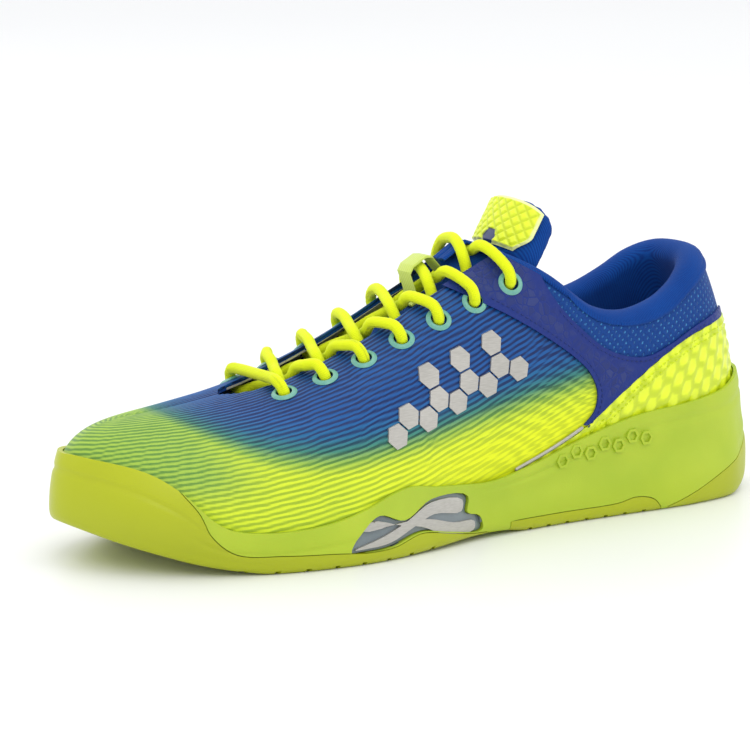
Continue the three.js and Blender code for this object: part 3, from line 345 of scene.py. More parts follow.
def on_side(places, side):
    """The a and h of places given as [forward, height] and seen from one side."""
    if side not in _side_maps:
        cloud = form(side * _u[:, None], _h[None, :])
        tree = kdtree.KDTree(cloud.shape[0] * cloud.shape[1])
        for i, (x, _, z) in enumerate(cloud.reshape(-1, 3)):
            tree.insert((x, z, 0), i)
        tree.balance()
        _side_maps[side] = tree
    tree = _side_maps[side]
    found = np.array([tree.find((x, z, 0))[1] for x, z in places])
    a, h = side * _u[found // len(_h)], _h[found % len(_h)].copy()
    target = np.asarray(places, float)
    step = 1e-3
    for _ in range(4):
        here = form(a, h)[:, [0, 2]]
        by_a = (form(a + step, h)[:, [0, 2]] - here) / step
        by_h = (form(a, h + step)[:, [0, 2]] - here) / step
        miss = target - here
        size = by_a[:, 0] * by_h[:, 1] - by_a[:, 1] * by_h[:, 0]
        size = np.where(np.abs(size) < 1e-3, 1e9, size)
        a = a + np.clip((miss[:, 0] * by_h[:, 1] - miss[:, 1] * by_h[:, 0]) / size, -0.02, 0.02)
        rise = np.clip((by_a[:, 0] * miss[:, 1] - by_a[:, 1] * miss[:, 0]) / size, -0.05, 0.05)
        h = np.clip(h + rise, 0.001, 0.999)
    return a, h


# ------------------------------------------------------------------ layer places, outwards from the form

FIT = 0.3
SHELL_IN, SHELL_OUT = 1.2, 2.1
OVERLAY_IN, OVERLAY_OUT = 2.4, 3.2
PANEL_OUT = 3.4
BADGE_IN, BADGE_OUT = 3.7, 4.7
REAR_LINING = -1.2
TONGUE_OUT = -5.9
OUTSOLE = 4
OUTSOLE_WALL = 3.2
BOTTOM_INSET = 3
WALL_COVER = 2.2

# ------------------------------------------------------------------ meshes


def new_object(name, verts, faces):
    mesh = bpy.data.meshes.new(name)
    mesh.from_pydata((np.asarray(verts) * MM).tolist(), [], [tuple(int(i) for i in f) for f in faces])
    mesh.update()
    obj = bpy.data.objects.new(name, mesh)
    bpy.context.scene.collection.objects.link(obj)
    return obj


def quad_object(name, verts, quads):
    """A mesh of four-sided faces, turned to face out."""
    verts, quads = np.asarray(verts, float), np.asarray(quads, int)
    a, b, c, d = (verts[quads[:, k]] for k in range(4))
    volume = np.einsum("ij,ij->i", a, np.cross(b, c)).sum() + np.einsum("ij,ij->i", a, np.cross(c, d)).sum()
    if volume < 0:
        quads = quads[:, ::-1]
    mesh = bpy.data.meshes.new(name)
    mesh.vertices.add(len(verts))
    mesh.vertices.foreach_set("co", (verts * MM).astype(np.float32).ravel())
    mesh.loops.add(quads.size)
    mesh.loops.foreach_set("vertex_index", quads.astype(np.int32).ravel())
    mesh.polygons.add(len(quads))
    mesh.polygons.foreach_set("loop_start", np.arange(0, quads.size, 4, dtype=np.int32))
    mesh.update(calc_edges=True)
    mesh.validate()
    obj = bpy.data.objects.new(name, mesh)
    bpy.context.scene.collection.objects.link(obj)
    return obj


def stations(count, pull=0.35):
    s = np.linspace(0, 1, count + 1)
    return s - pull * np.sin(2 * np.pi * s) / (2 * np.pi)


def ring_of(count, pull=0.35):
    u = stations(count, pull)
    return np.concatenate([-u[:0:-1], u[:-1]])


def zipped(index, count):
    """The last row of a ring of ribs is one line, met from both sides."""
    columns = np.arange(2 * count)
    index[-1] = index[-1][np.where(columns == 0, 0, np.minimum(columns, 2 * count - columns))]
    return index


def grid_quads(index):
    nxt = np.roll(index, -1, axis=1)
    return np.stack([index[:-1], nxt[:-1], nxt[1:], index[1:]], -1).reshape(-1, 4)


def layer(name, inner, outer, columns=110, rows=60, inner_rows=16, pull=0.35):
    """One layer of the whole upper, closed at the footbed. Each face is a distance or f(a, h)."""
    a = ring_of(columns, pull)
    parts, quads, start = [], [], 0
    for face, count, out in ((outer, rows, True), (inner, inner_rows, False)):
        h = np.linspace(0, 1, count + 1)[:, None]
        distance = face(a[None, :], h) if callable(face) else face
        points = offset(a[None, :], h, distance)
        index = zipped(np.arange(points.shape[0] * points.shape[1]).reshape(points.shape[:2]), columns) + start
        parts.append(points.reshape(-1, 3))
        faces = grid_quads(index)
        quads.append(faces if out else faces[:, ::-1])
        if out:
            rim = index[0]
        else:
            quads.append(np.stack([np.roll(rim, -1), rim, index[0], np.roll(index[0], -1)], -1))
        start += points.shape[0] * points.shape[1]
    verts, faces = np.vstack(parts), np.vstack(quads)
    used, places = np.unique(faces, return_inverse=True)
    return quad_object(name, verts[used], places.reshape(faces.shape))


def prism(name, outline, axis, low, high):
    """A straight solid over an outline: along Y if seen from the side, along Z if seen from above."""
    ring = np.asarray(outline, float)
    count = len(ring)
    ends = []
    for level in (low, high):
        level = np.full(count, float(level))
        order = (ring[:, 0], level, ring[:, 1]) if axis == "Y" else (ring[:, 0], ring[:, 1], level)
        ends.append(np.stack(order, -1))
    faces = [list(range(count)), list(range(2 * count - 1, count - 1, -1))]
    faces += [[(i + 1) % count, i, count + i, count + (i + 1) % count] for i in range(count)]
    obj = new_object(name, np.vstack(ends), faces)
    shape = bmesh.new()
    shape.from_mesh(obj.data)
    bmesh.ops.recalc_face_normals(shape, faces=shape.faces)
    bmesh.ops.triangulate(shape, faces=[f for f in shape.faces if len(f.verts) > 4])
    shape.to_mesh(obj.data)
    shape.free()
    return obj


def side_name(side):
    return "lateral" if side > 0 else "medial"


def rib_lengths(line):
    """How far each point of each rib is from the rib's start."""
    steps = np.linalg.norm(np.diff(line, axis=0), axis=-1)
    return np.concatenate([np.zeros((1, line.shape[1])), np.cumsum(steps, axis=0)])


def joined(solids):
    """All the solids as one."""
    first, *others = solids
    for other in others:
        boolean(first, other, "UNION")
        discard(other)
    return first


def boolean(obj, tool, operation):
    """Cuts obj by tool, joins them, or keeps what they share."""
    modifier = obj.modifiers.new("cut", "BOOLEAN")
    modifier.solver = "MANIFOLD"
    modifier.operation = operation
    modifier.object = tool
    depsgraph = bpy.context.evaluated_depsgraph_get()
    made = bpy.data.meshes.new_from_object(obj.evaluated_get(depsgraph))
    obj.modifiers.clear()
    old, obj.data = obj.data, made
    made.name = obj.name
    bpy.data.meshes.remove(old)
    return obj


def less(obj, *tools):
    for tool in tools:
        boolean(obj, tool, "DIFFERENCE")
    return obj


def within(obj, *tools):
    for tool in tools:
        boolean(obj, tool, "INTERSECT")
    return obj


def copy_of(obj, name):
    twin = obj.copy()
    twin.data = obj.data.copy()
    twin.name = name
    bpy.context.scene.collection.objects.link(twin)
    return twin


def discard(*objs):
    for obj in objs:
        bpy.data.objects.remove(obj)


def soften(obj, angle=40):
    obj.data.polygons.foreach_set("use_smooth", [True] * len(obj.data.polygons))
    obj.data.set_sharp_from_angle(angle=math.radians(angle))
    return obj


def points_of(obj):
    co = np.empty(len(obj.data.vertices) * 3, np.float32)
    obj.data.vertices.foreach_get("co", co)
    return co.reshape(-1, 3).astype(float) / MM


def set_attribute(obj, name, values):
    kind = "FLOAT_VECTOR" if np.ndim(values) == 2 else "FLOAT"
    attribute = obj.data.attributes.new(name, kind, "POINT")
    field = "vector" if kind == "FLOAT_VECTOR" else "value"
    attribute.data.foreach_set(field, np.asarray(values, np.float32).ravel())


_cloth_map = {}


def cloth_places(points):
    """For points near the form: how far round the shoe, and how far down from the ridge, in millimetres."""
    if not _cloth_map:
        a = ring_of(150)
        h = np.linspace(0, 1, 101)[:, None]
        grid = offset(a[None, :], h, SHELL_OUT)
        down = np.concatenate([np.cumsum(np.linalg.norm(np.diff(grid[::-1], axis=0), axis=-1), axis=0)[::-1],
                               np.zeros((1, len(a)))])
        round_it = np.broadcast_to(a * upper_plan.run[-1] / 2, down.shape)
        tree = kdtree.KDTree(down.size)
        for i, p in enumerate(grid.reshape(-1, 3)):
            tree.insert(p, i)
        tree.balance()
        _cloth_map.update(tree=tree, down=down.ravel(), round=round_it.ravel())
    out = np.empty((len(points), 2))
    for i, p in enumerate(points):
        near = _cloth_map["tree"].find_n(p, 3)
        weight = np.array([1 / (n[2] + 1e-3) for n in near])
        ids = [n[1] for n in near]
        out[i] = [_cloth_map[key][ids] @ weight / weight.sum() for key in ("round", "down")]
    return out


# ------------------------------------------------------------------ materials


class Value:
    """A socket in a material's nodes. Arithmetic on it adds Math nodes."""

    def __init__(self, nodes, socket):
        self.nodes, self.socket = nodes, socket

    def maths(self, operation, first, second=None):
        return self.nodes.add("ShaderNodeMath", {"operation": operation}, {0: first, 1: second})

    def __add__(self, other):
        return self.maths("ADD", self, other)

    def __sub__(self, other):
        return self.maths("SUBTRACT", self, other)

    def __rsub__(self, other):
        return self.maths("SUBTRACT", other, self)

    def __mul__(self, other):
        return self.maths("MULTIPLY", self, other)

    def __truediv__(self, other):
        return self.maths("DIVIDE", self, other)

    def __pow__(self, other):
        return self.maths("POWER", self, other)

    __radd__, __rmul__ = __add__, __mul__

    def sine(self):
        return self.maths("SINE", self)

    def fraction(self):
        return self.maths("FRACT", self)

    def above(self, level):
        return self.maths("GREATER_THAN", self, level)

    def between(self, low, high):
        """0 below low, 1 above high, smooth between them."""
        return self.nodes.add("ShaderNodeMapRange", {"interpolation_type": "SMOOTHSTEP", "clamp": True},
                              {"Value": self, "From Min": low, "From Max": high})


class Finish:
    """A material whose surface is one Principled shader."""

    def __init__(self, name, **constants):
        self.material = bpy.data.materials.new(name)
        self.material.use_nodes = True
        self.tree = self.material.node_tree
        self.tree.nodes.clear()
        output = self.tree.nodes.new("ShaderNodeOutputMaterial")
        self.shader = self.tree.nodes.new("ShaderNodeBsdfPrincipled")
        self.tree.links.new(self.shader.outputs[0], output.inputs["Surface"])
        for socket, value in constants.items():
            self.put(self.shader, socket.replace("_", " "), value)

    def put(self, node, key, value):
        socket = node.inputs[key]
        if isinstance(value, Value):
            self.tree.links.new(value.socket, socket)
        elif value is not None:
            wide = hasattr(value, "__len__") and hasattr(socket.default_value, "__len__")
            if wide and len(value) == 3 and len(socket.default_value) == 4:
                value = (*value, 1)
            socket.default_value = value

    def add(self, kind, settings=None, inputs=None, output=0):
        """Any node: its type, its settings, which are set first, and its sockets' values or links."""
        node = self.tree.nodes.new(kind)
        for key, value in (settings or {}).items():
            if key == "stops":
                while len(node.color_ramp.elements) < len(value):
                    node.color_ramp.elements.new(0.5)
                for element, (place, colour) in zip(node.color_ramp.elements, value):
                    element.position, element.color = place, (*colour, 1)
            else:
                setattr(node, key, value)
        for key, value in (inputs or {}).items():
            self.put(node, key, value)
        return Value(self, node.outputs[output])

    def surface(self, **links):
        for socket, value in links.items():
            self.put(self.shader, socket.replace("_", " "), value)
        return self.material

    def place(self, scale=1000.0):
        """Where a point is on the object, in millimetres unless scaled otherwise."""
        where = self.add("ShaderNodeTexCoord", output="Object")
        return self.add("ShaderNodeVectorMath", {"operation": "SCALE"}, {0: where, "Scale": scale})

    def parts(self, vector):
        node = self.tree.nodes.new("ShaderNodeSeparateXYZ")
        self.tree.links.new(vector.socket, node.inputs[0])
        return [Value(self, node.outputs[k]) for k in range(3)]

    def attribute(self, name, vector=False):
        return self.add("ShaderNodeAttribute", {"attribute_name": name}, output="Vector" if vector else "Fac")

    def noise(self, scale, detail=2.0, where=None, stretch=(1, 1, 1)):
        where = where or self.place()
        spread = self.add("ShaderNodeVectorMath", {"operation": "MULTIPLY"}, {0: where, 1: stretch})
        return self.add("ShaderNodeTexNoise", {}, {"Vector": spread, "Scale": scale, "Detail": detail})

    def mix(self, factor, first, second):
        """A colour between two."""
        node = self.tree.nodes.new("ShaderNodeMix")
        node.data_type = "RGBA"
        self.put(node, 0, factor)
        self.put(node, 6, first)
        self.put(node, 7, second)
        return Value(self, node.outputs[2])

    def ramp(self, factor, *stops):
        return self.add("ShaderNodeValToRGB", {"stops": stops}, {"Fac": factor})

    def bump(self, height, distance, strength=1.0):
        inputs = {"Height": height, "Distance": distance * MM, "Strength": strength}
        return self.add("ShaderNodeBump", {}, inputs)


def colour(code):
    """Linear light from a colour code."""
    parts = [int(code[i:i + 2], 16) / 255 for i in (0, 2, 4)]
    return tuple(c / 12.92 if c <= 0.04045 else ((c + 0.055) / 1.055) ** 2.4 for c in parts)


def ribbed_upper():
    """The fade runs from yellow at the sole through leaf green and teal to blue, over fine ribs, with painted light
    on the rib crests and painted shade in the grooves.
    """
    f = Finish("ribbed_upper", Specular_IOR_Level=0.25, Coat_Weight=0.1, Coat_Roughness=0.35)
    rib = f.attribute("rib")
    grain = f.noise(1.6, 3)
    fade = f.attribute("fade") + (grain - 0.5) * 0.05
    # crest colours: the fade with painted light on the rib crests
    crest_painted_light = f.ramp(fade, (0.0, colour("e8f21c")), (0.26, colour("dcec2a")), (0.42, colour("9cc04a")),
                   (0.55, colour("3f8674")), (0.7, colour("1d6a96")), (0.85, colour("175d9e")),
                   (1.0, colour("13549a")))
    # groove colours: the same fade much darker, as painted shade in the rib grooves
    groove = f.ramp(fade, (0.0, colour("c8d61a")), (0.26, colour("a8c02a")), (0.42, colour("5c8a3c")),
                    (0.55, colour("184c4c")), (0.7, colour("082f5c")), (0.85, colour("06265e")),
                    (1.0, colour("052258")))
    weave = f.noise(0.9, 2, stretch=(2.2, 2.2, 2.2))
    return f.surface(Base_Color=f.mix(rib.between(0.15, 0.85), groove, crest_painted_light), Roughness=0.38 + weave * 0.25,
                     Normal=f.bump(weave, 0.08, 0.5))


def crackle_overlay():
    f = Finish("crackle_overlay", Specular_IOR_Level=0.3, Coat_Weight=0.1, Coat_Roughness=0.25)
    where = f.place()
    cells = f.add("ShaderNodeTexVoronoi", {"feature": "DISTANCE_TO_EDGE"}, {"Vector": where, "Scale": 0.3})
    tint = f.add("ShaderNodeTexVoronoi", {"feature": "F1"}, {"Vector": where, "Scale": 0.3}, output="Color")
    shade = f.add("ShaderNodeSeparateColor", {}, {0: tint})
    patch = cells.between(0.03, 0.12)
    inner = f.attribute("inner")
    body = f.mix(shade, colour("182a6c"), colour("2c3a76"))
    return f.surface(Base_Color=f.mix(inner * patch, colour("0a2878"), body),
                     Roughness=0.42 + 0.2 * patch, Normal=f.bump(patch * inner, 0.25, 0.6))


def open_mesh():
    """A knitted mesh: rows of small light holes over blue yarn."""
    f = Finish("open_mesh", Specular_IOR_Level=0.2, Sheen_Weight=0.05)
    along, up, _ = f.parts(f.attribute("cloth", vector=True))
    row = up * (1 / 2.3)
    shift = (row - row.fraction()) * 0.5
    across = (along * (1 / 2.6) + shift).fraction() - 0.5
    middle = row.fraction() - 0.5
    spot = (across * across * 1.3 + middle * middle) ** 0.5
    dot = 1 - spot.between(0.12, 0.26)
    grain = f.noise(1.4, 3)
    glow = dot * grain.between(0.35, 0.65)
    yarn = f.mix(grain, colour("0a2f74"), colour("124a94"))
    return f.surface(Base_Color=f.mix(glow, yarn, colour("3f86bc")), Roughness=0.75 - 0.2 * dot,
                     Normal=f.bump(spot.between(0.15, 0.4) + grain * 0.3, 0.35, 0.8))


def soft_knit(name, deep, light, rows=1.5):
    f = Finish(name, Specular_IOR_Level=0.15, Sheen_Weight=0.05)
    where = f.place()
    x, y, _ = f.parts(where)
    rib = ((x + y * 0.6) * (2 * math.pi / rows)).sine() * 0.5 + 0.5
    yarn = f.noise(2.4, 3, where)
    cloud = f.noise(0.06, 2, where)
    tone = rib * 0.35 + yarn * 0.4 + cloud * 0.35
    return f.surface(Base_Color=f.mix(tone.between(0.25, 0.85), deep, light), Roughness=0.75 + yarn * 0.2,
                     Normal=f.bump(rib * 0.5 + yarn * 0.6, 0.18, 0.7))


def embossed(name, base, deep, gloss=0.32):
    f = Finish(name, Coat_Weight=0.35, Coat_Roughness=0.2)
    grain = f.noise(1.2, 4)
    hill = f.attribute("hill")
    # the hollows between the hills take the darker deep colour, as painted shade
    return f.surface(Base_Color=f.mix(hill.between(0.0, 0.5), deep, base), Roughness=gloss + grain * 0.18,
                     Normal=f.bump(grain, 0.05, 0.5))


def moulded(name, base, deep, rough=0.5, grain_size=1.8, bump=0.08, **constants):
    """Moulded foam, rubber or plastic: a fine grain and slow clouds of tone."""
    f = Finish(name, **constants)
    grain = f.noise(grain_size, 5)
    cloud = f.noise(0.03, 3)
    return f.surface(Base_Color=f.mix(cloud.between(0.3, 0.7) * 0.6 + grain * 0.3, base, deep),
                     Roughness=rough + (grain - 0.5) * 0.2, Normal=f.bump(grain, bump, 0.6))


def midsole_foam():
    """Lime foam, more olive towards its lower edge."""
    f = Finish("midsole_foam", Specular_IOR_Level=0.35, Coat_Weight=0.05, Coat_Roughness=0.4,
               Subsurface_Weight=0.05, Subsurface_Scale=0.004)
    _, _, z = f.parts(f.place())
    grain = f.noise(2.2, 5)
    cloud = f.noise(0.025, 3)
    base = f.mix(cloud.between(0.3, 0.7), colour("b4c834"), colour("a4bc2c"))
    low = 1 - z.between(5, 20)
    return f.surface(Base_Color=f.mix(low * 0.5, base, colour("aabf24")), Roughness=0.5 + (grain - 0.5) * 0.25,
                     Normal=f.bump(grain, 0.12, 0.6))


def clear_rubber():
    """Olive gum rubber that lets a little light in, with painted shade darkening it towards the floor."""
    f = Finish("clear_rubber", Specular_IOR_Level=0.4, Coat_Weight=0.12, Coat_Roughness=0.25,
               Subsurface_Weight=0.12, Subsurface_Radius=(0.9, 1.0, 0.2), Subsurface_Scale=0.006)
    grain = f.noise(1.5, 5)
    _, _, z = f.parts(f.place())
    cloud = f.noise(0.02, 2)
    # random clouds of tone, plus painted shade: darker low down, lighter higher up
    return f.surface(Base_Color=f.mix(cloud * 0.5 + z.between(0, 45) * 0.4, colour("a2ac04"), colour("bcc40c")),
                     Roughness=0.34 + grain * 0.2, Normal=f.bump(grain, 0.1, 0.5))


def braided_lace():
    f = Finish("braided_lace", Specular_IOR_Level=0.2, Sheen_Weight=0.1)
    along, round_it, _ = f.parts(f.attribute("cloth", vector=True))
    first = ((along + round_it) * (2 * math.pi / 1.1)).sine()
    second = ((along - round_it) * (2 * math.pi / 1.1)).sine()
    braid = first * second * 0.5 + 0.5
    fibre = f.noise(3.0, 3)
    return f.surface(Base_Color=f.mix(braid * 0.7 + fibre * 0.3, colour("dcec0e"), colour("f4ff1c")),
                     Roughness=0.72 + fibre * 0.2, Normal=f.bump(braid + fibre * 0.4, 0.16, 0.8))


def brushed_film():
    f = Finish("brushed_film", Metallic=0.55, Coat_Weight=0.3, Coat_Roughness=0.15)
    streak = f.noise(1.2, 4, stretch=(0.25, 1, 2.5))
    return f.surface(Base_Color=f.mix(streak, colour("9c9992"), colour("c6c3bd")), Roughness=0.28 + streak * 0.15,
                     Normal=f.bump(streak, 0.02, 0.4))


FINISHES = {
    "vamp_synthetic": ribbed_upper(),
    "navy_overlay": crackle_overlay(),
    # c4d70c is painted shade for the hollows between the heel panel's hills
    "yellow_panel": embossed("embossed_yellow", colour("e6f51c"), colour("c4d70c")),
    "midsole_foam": midsole_foam(),
    "outsole_rubber": clear_rubber(),
    "lining_fabric": soft_knit("collar_knit", colour("063078"), colour("0a4a9c"), 0.7),
    "mesh_fabric": open_mesh(),
    "padding_foam": moulded("open_foam", colour("d8d2a8"), colour("c2ba8c"), 0.9, 0.9, 0.4),
    "board": moulded("stitched_board", colour("e8e6dc"), colour("cfcbbb"), 0.85, 1.2, 0.1),
    "stiffener": moulded("stiffener_sheet", colour("c9c4b4"), colour("b3ad9a"), 0.7, 1.5, 0.05),
    "insole_fabric": soft_knit("insole_cloth", colour("0d2f6c"), colour("1c4f96"), 0.9),
    "lace_fabric": braided_lace(),
    "silver_trim": brushed_film(),
    "shank_plastic": moulded("shank_gloss", colour("5d686d"), colour("7d898e"), 0.22, 0.8, 0.01,
                             Coat_Weight=0.5, Coat_Roughness=0.08),
    "gel": moulded("soft_gel", colour("e8ef9a"), colour("d5de7c"), 0.3, 0.4, 0.02, Subsurface_Weight=0.3,
                   Subsurface_Scale=0.004),
    "lace_tip": moulded("tip_gloss", colour("e9f3a0"), colour("dce88a"), 0.15, 0.6, 0.01,
                        Coat_Weight=0.6, Coat_Roughness=0.05),
}
THREAD = {
    "yellow": moulded("yellow_thread", colour("d9ea1a"), colour("b4c80e"), 0.7, 3, 0.1),
    "navy": moulded("navy_thread", colour("16307c"), colour("0c1f58"), 0.7, 3, 0.1),
    "green": moulded("green_thread", colour("6f9f8c"), colour("3f7468"), 0.65, 3, 0.1),
}


def finish_as(obj, slot, material=None):
    obj.data.materials.clear()
    obj.data.materials.append(material or FINISHES[slot])
    return obj


def piece(obj, slot, body="shoe", replaces=(), material=None, angle=40):
    """A finished piece that rides on a body and stands for its CAD nodes."""
    soften(obj, angle)
    finish_as(obj, slot, material)
    if body:
        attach(obj, body)
    if replaces:
        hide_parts(*replaces)
    return obj


# ------------------------------------------------------------------ lines of the upper

COLLAR_LINE = [[-12, 99], [16, 99], [26, 98], [36, 93], [46, 86], [58, 80.5], [72, 78], [86, 81],
               [98, 89], [110, 97], [120, 102], [132, 108], [146, 116]]
LINING_SEAM = [[-12, 90], [15, 90], [28, 89], [40, 83], [50, 77], [62, 73.5], [74, 73.5],
               [86, 77.5], [97, 86], [106, 94], [112, 100]]
MESH_EDGE = [[18, 74], [28, 72.5], [40, 69], [52, 64], [63, 60.5], [73, 61.5], [84, 66], [94, 74],
             [103, 83.5], [108, 92], [110, 100]]
PANEL_EDGE = [[-12, 71], [18, 70.5], [38, 67], [54, 60.5], [74, 48.5], [94, 35.5], [113, 27.5],
              [140, 18], [150, 10]]
OVERLAY_FRONT = [[94, 37], [89, 42], [87.5, 49], [91, 57], [99, 64.5], [112, 73.5], [126, 82],
                 [140, 89.5], [156, 99]]
REAR_SPLIT = [[120, 120], [113, 96], [102, 77], [88, 59], [82, 46], [80, 0]]
THROAT_HALF = [[96, 19], [112, 17], [124, 15.5], [150, 14.5], [180, 13.5], [205, 12], [219, 10], [227, 6.5]]
THROAT_FRONT = 231
HIGH, LOW, FAR = 260.0, -40.0, 200.0


def seen_line(points, steps=10):
    """A line seen from the side, as [forward, height]."""
    line = catmull(points, steps)
    return np.stack([forward(line[:, 0]), line[:, 1]], -1)


def shifted(line, distance):
    """A line moved to its left."""
    along = np.gradient(line, axis=0)
    along = unit(along)
    return line + np.stack([-along[:, 1], along[:, 0]], -1) * distance


def half_space(side):
    """From one side of the shoe's middle outwards."""
    return (4, FAR) if side > 0 else (-FAR, -4)


def region_above(points, lowered=0):
    line = seen_line(points) - [0, lowered]
    return prism("above", np.vstack([line, [[line[-1, 0], HIGH], [line[0, 0], HIGH]]]), "Y", -FAR, FAR)


def region_below(points, extra=0, sides=(-FAR, FAR)):
    line = shifted(seen_line(points), extra)
    return prism("below", np.vstack([line, [[line[-1, 0], LOW], [line[0, 0], LOW]]]), "Y", *sides)


def region_behind(points, extra=0):
    line = shifted(seen_line(points), extra)
    back = float(forward(-40))
    return prism("behind", np.vstack([line, [[back, line[-1, 1]], [back, line[0, 1]]]]), "Y", -FAR, FAR)


def throat(extra=0):
    half = np.array(THROAT_HALF, float)
    middle = ridge_shift(half[:, 0])
    x = forward(half[:, 0]) + np.where(half[:, 0] > 215, extra * 0.6, 0)
    tip = [[forward(THROAT_FRONT) + extra, float(ridge_shift(THROAT_FRONT))]]
    left = np.stack([x, middle + half[:, 1] + extra], -1)
    right = np.stack([x, middle - half[:, 1] - extra], -1)[::-1]
    halves = catmull(np.vstack([left, tip]), 6), catmull(np.vstack([tip, right]), 6)[1:]
    return prism("throat", np.vstack(halves), "Z", 27, HIGH)


def eyelet_drill(place, way, radius=3.1, length=14):
    shape = bmesh.new()
    bmesh.ops.create_cone(shape, cap_ends=True, segments=28, radius1=radius * MM, radius2=radius * MM,
                          depth=length * MM)
    mesh = bpy.data.meshes.new("drill")
    shape.to_mesh(mesh)
    shape.free()
    obj = bpy.data.objects.new("drill", mesh)
    bpy.context.scene.collection.objects.link(obj)
    turn = Vector(way).to_track_quat("Z", "Y").to_matrix().to_4x4()
    turn.translation = Vector(place) * MM
    mesh.transform(turn)
    return obj


collar_cut = region_above(COLLAR_LINE)
throat_cut = throat()
drills = [eyelet_drill(place, way) for side in EYELETS.values() for place, way, _, _ in side]

# ------------------------------------------------------------------ skins of the upper

RIB_PITCH = 2.1
FADE_LEVEL = profile([[80, 58], [95, 55], [120, 51], [150, 46], [180, 42], [210, 40], [235, 43], [250, 49],
                      [265, 58], [280, 68], [298, 76]])
FADE_WIDTH = 30


def down_from_ridge(a, h):
    """How far down each rib a point lies from the ridge."""
    fine = np.linspace(0, 1, 241)[:, None]
    line = form(a, fine)
    run = rib_lengths(line)
    run = run[-1] - run
    rows = np.clip(h[:, 0] * 240, 0, 240)
    low = np.minimum(rows.astype(int), 239)
    part = (rows - low)[:, None]
    return run[low] * (1 - part) + run[low + 1] * part


def ribs(a, h):
    """Fine lengthwise ribs, shallower over the toe."""
    a = np.asarray(a, float)
    down = down_from_ridge(a[0], h)
    wave = 0.5 + 0.5 * np.cos(2 * np.pi * down / RIB_PITCH)
    toe = 1 - 0.65 * smoothstep(np.abs(a), 0.78, 0.98)
    return SHELL_OUT - 0.32 + 0.32 * (0.35 + 0.65 * wave) * toe


def vamp_skin():
    skin = layer("vamp_skin", SHELL_IN, ribs, columns=120, rows=310, inner_rows=24, pull=0.2)
    behind = region_behind(REAR_SPLIT, FIT)
    less(skin, collar_cut, throat_cut, behind, *drills)
    discard(behind)
    points = points_of(skin)
    places = cloth_places(points)
    # rib is 1 on each rib crest and 0 in each groove; the material places its painted light and painted shade by it
    set_attribute(skin, "rib", 0.5 + 0.5 * np.cos(2 * np.pi * places[:, 1] / RIB_PITCH))
    level = FADE_LEVEL(drawn(points[:, 0]))
    fade = np.clip(0.5 + (points[:, 2] - level) / FADE_WIDTH, 0, 1)
    place = drawn(points[:, 0])
    over_toe = smoothstep(place, 230, 262) * smoothstep(points[:, 2], 22, 36)
    least = 0.28 * smoothstep(place, 140, 215) + 0.13 * over_toe
    set_attribute(skin, "fade", np.maximum(fade, least))
    return piece(skin, "vamp_synthetic", replaces=["vamp_shell"], angle=50)


def mesh_skin():
    skin = layer("collar_mesh_skin", SHELL_IN, SHELL_OUT, columns=110, rows=80)
    behind, seam = region_behind(REAR_SPLIT), region_below(LINING_SEAM, -FIT)
    within(skin, behind, seam)
    discard(behind, seam)
    places = cloth_places(points_of(skin))
    set_attribute(skin, "cloth", np.column_stack([places, np.zeros(len(places))]))
    return piece(skin, "mesh_fabric", replaces=["collar_mesh"])


def overlay_outline():
    front = seen_line(OVERLAY_FRONT)
    upper = seen_line(MESH_EDGE)[::-1]
    lower = shifted(seen_line(PANEL_EDGE), FIT)
    lower = lower[(lower[:, 0] > forward(18)) & (lower[:, 0] < forward(93))]
    top = [[forward(156), 125], [forward(110), 125]]
    return np.vstack([lower, front, top, upper])


def overlay(side):
    name = "quarter_overlay_" + side_name(side)
    skin = layer(name + "_skin", OVERLAY_IN, OVERLAY_OUT, columns=120, rows=70)
    zone = prism("zone", overlay_outline(), "Y", *half_space(side))
    within(skin, zone)
    less(skin, collar_cut, throat_cut, *drills)
    discard(zone)
    points = points_of(skin)
    edge = catmull(OVERLAY_FRONT, 6)
    edge = np.vstack([edge, catmull(MESH_EDGE, 6), catmull(PANEL_EDGE, 6)])
    edge[:, 0] = forward(edge[:, 0])
    gap = np.min(np.linalg.norm(points[:, None, [0, 2]] - edge[None], axis=-1), axis=1)
    set_attribute(skin, "inner", smoothstep(gap, 3.2, 4.2))
    return piece(skin, "navy_overlay", replaces=[name])


def hexagon_hills(round_it, down, pitch):
    """Height from 0 to 1 of low six-sided hills."""
    x, y = round_it / pitch, down / (pitch * math.sqrt(3))
    best = np.full(x.shape, 9.0)
    for shift in (0, 0.5):
        fx = (x + shift) % 1 - 0.5
        fy = (y + shift) % 1 - 0.5
        fy = fy * math.sqrt(3)
        distance = np.maximum(np.abs(fx), np.abs(fx) * 0.5 + np.abs(fy) * math.sqrt(3) / 2)
        best = np.minimum(best, distance)
    return 1 - smoothstep(best, 0.06, 0.48)


PANEL_PITCH = 7.0


def heel_panel():
    def face(a, h):
        down = down_from_ridge(a[0], h)
        round_it = np.broadcast_to(a * upper_plan.run[-1] / 2, down.shape)
        return PANEL_OUT - 0.75 + 0.75 * hexagon_hills(round_it, down, PANEL_PITCH)

    skin = layer("heel_panel_skin", OVERLAY_IN, face, columns=220, rows=150)
    zone = region_below(PANEL_EDGE)
    within(skin, zone)
    discard(zone)
    places = cloth_places(points_of(skin))
    # hill also places the painted shade in the hollows between the hills
    set_attribute(skin, "hill", hexagon_hills(places[:, 0], places[:, 1], PANEL_PITCH))
    return piece(skin, "yellow_panel", replaces=["heel_panel"], angle=60)


CELL_RADIUS, CELL_PITCH, CELL_TILT, CELL_GAP = 5.4, 0.96, -0.29, 0.45
CELL_START = (124, 62)
CELL_PLACES = [[0, 0], [1, 0], [1, 1], [2, 0], [3, 0], [3, 1], [4, 0], [5, 0], [5, 1], [6, 0], [7, 0], [8, 0]]


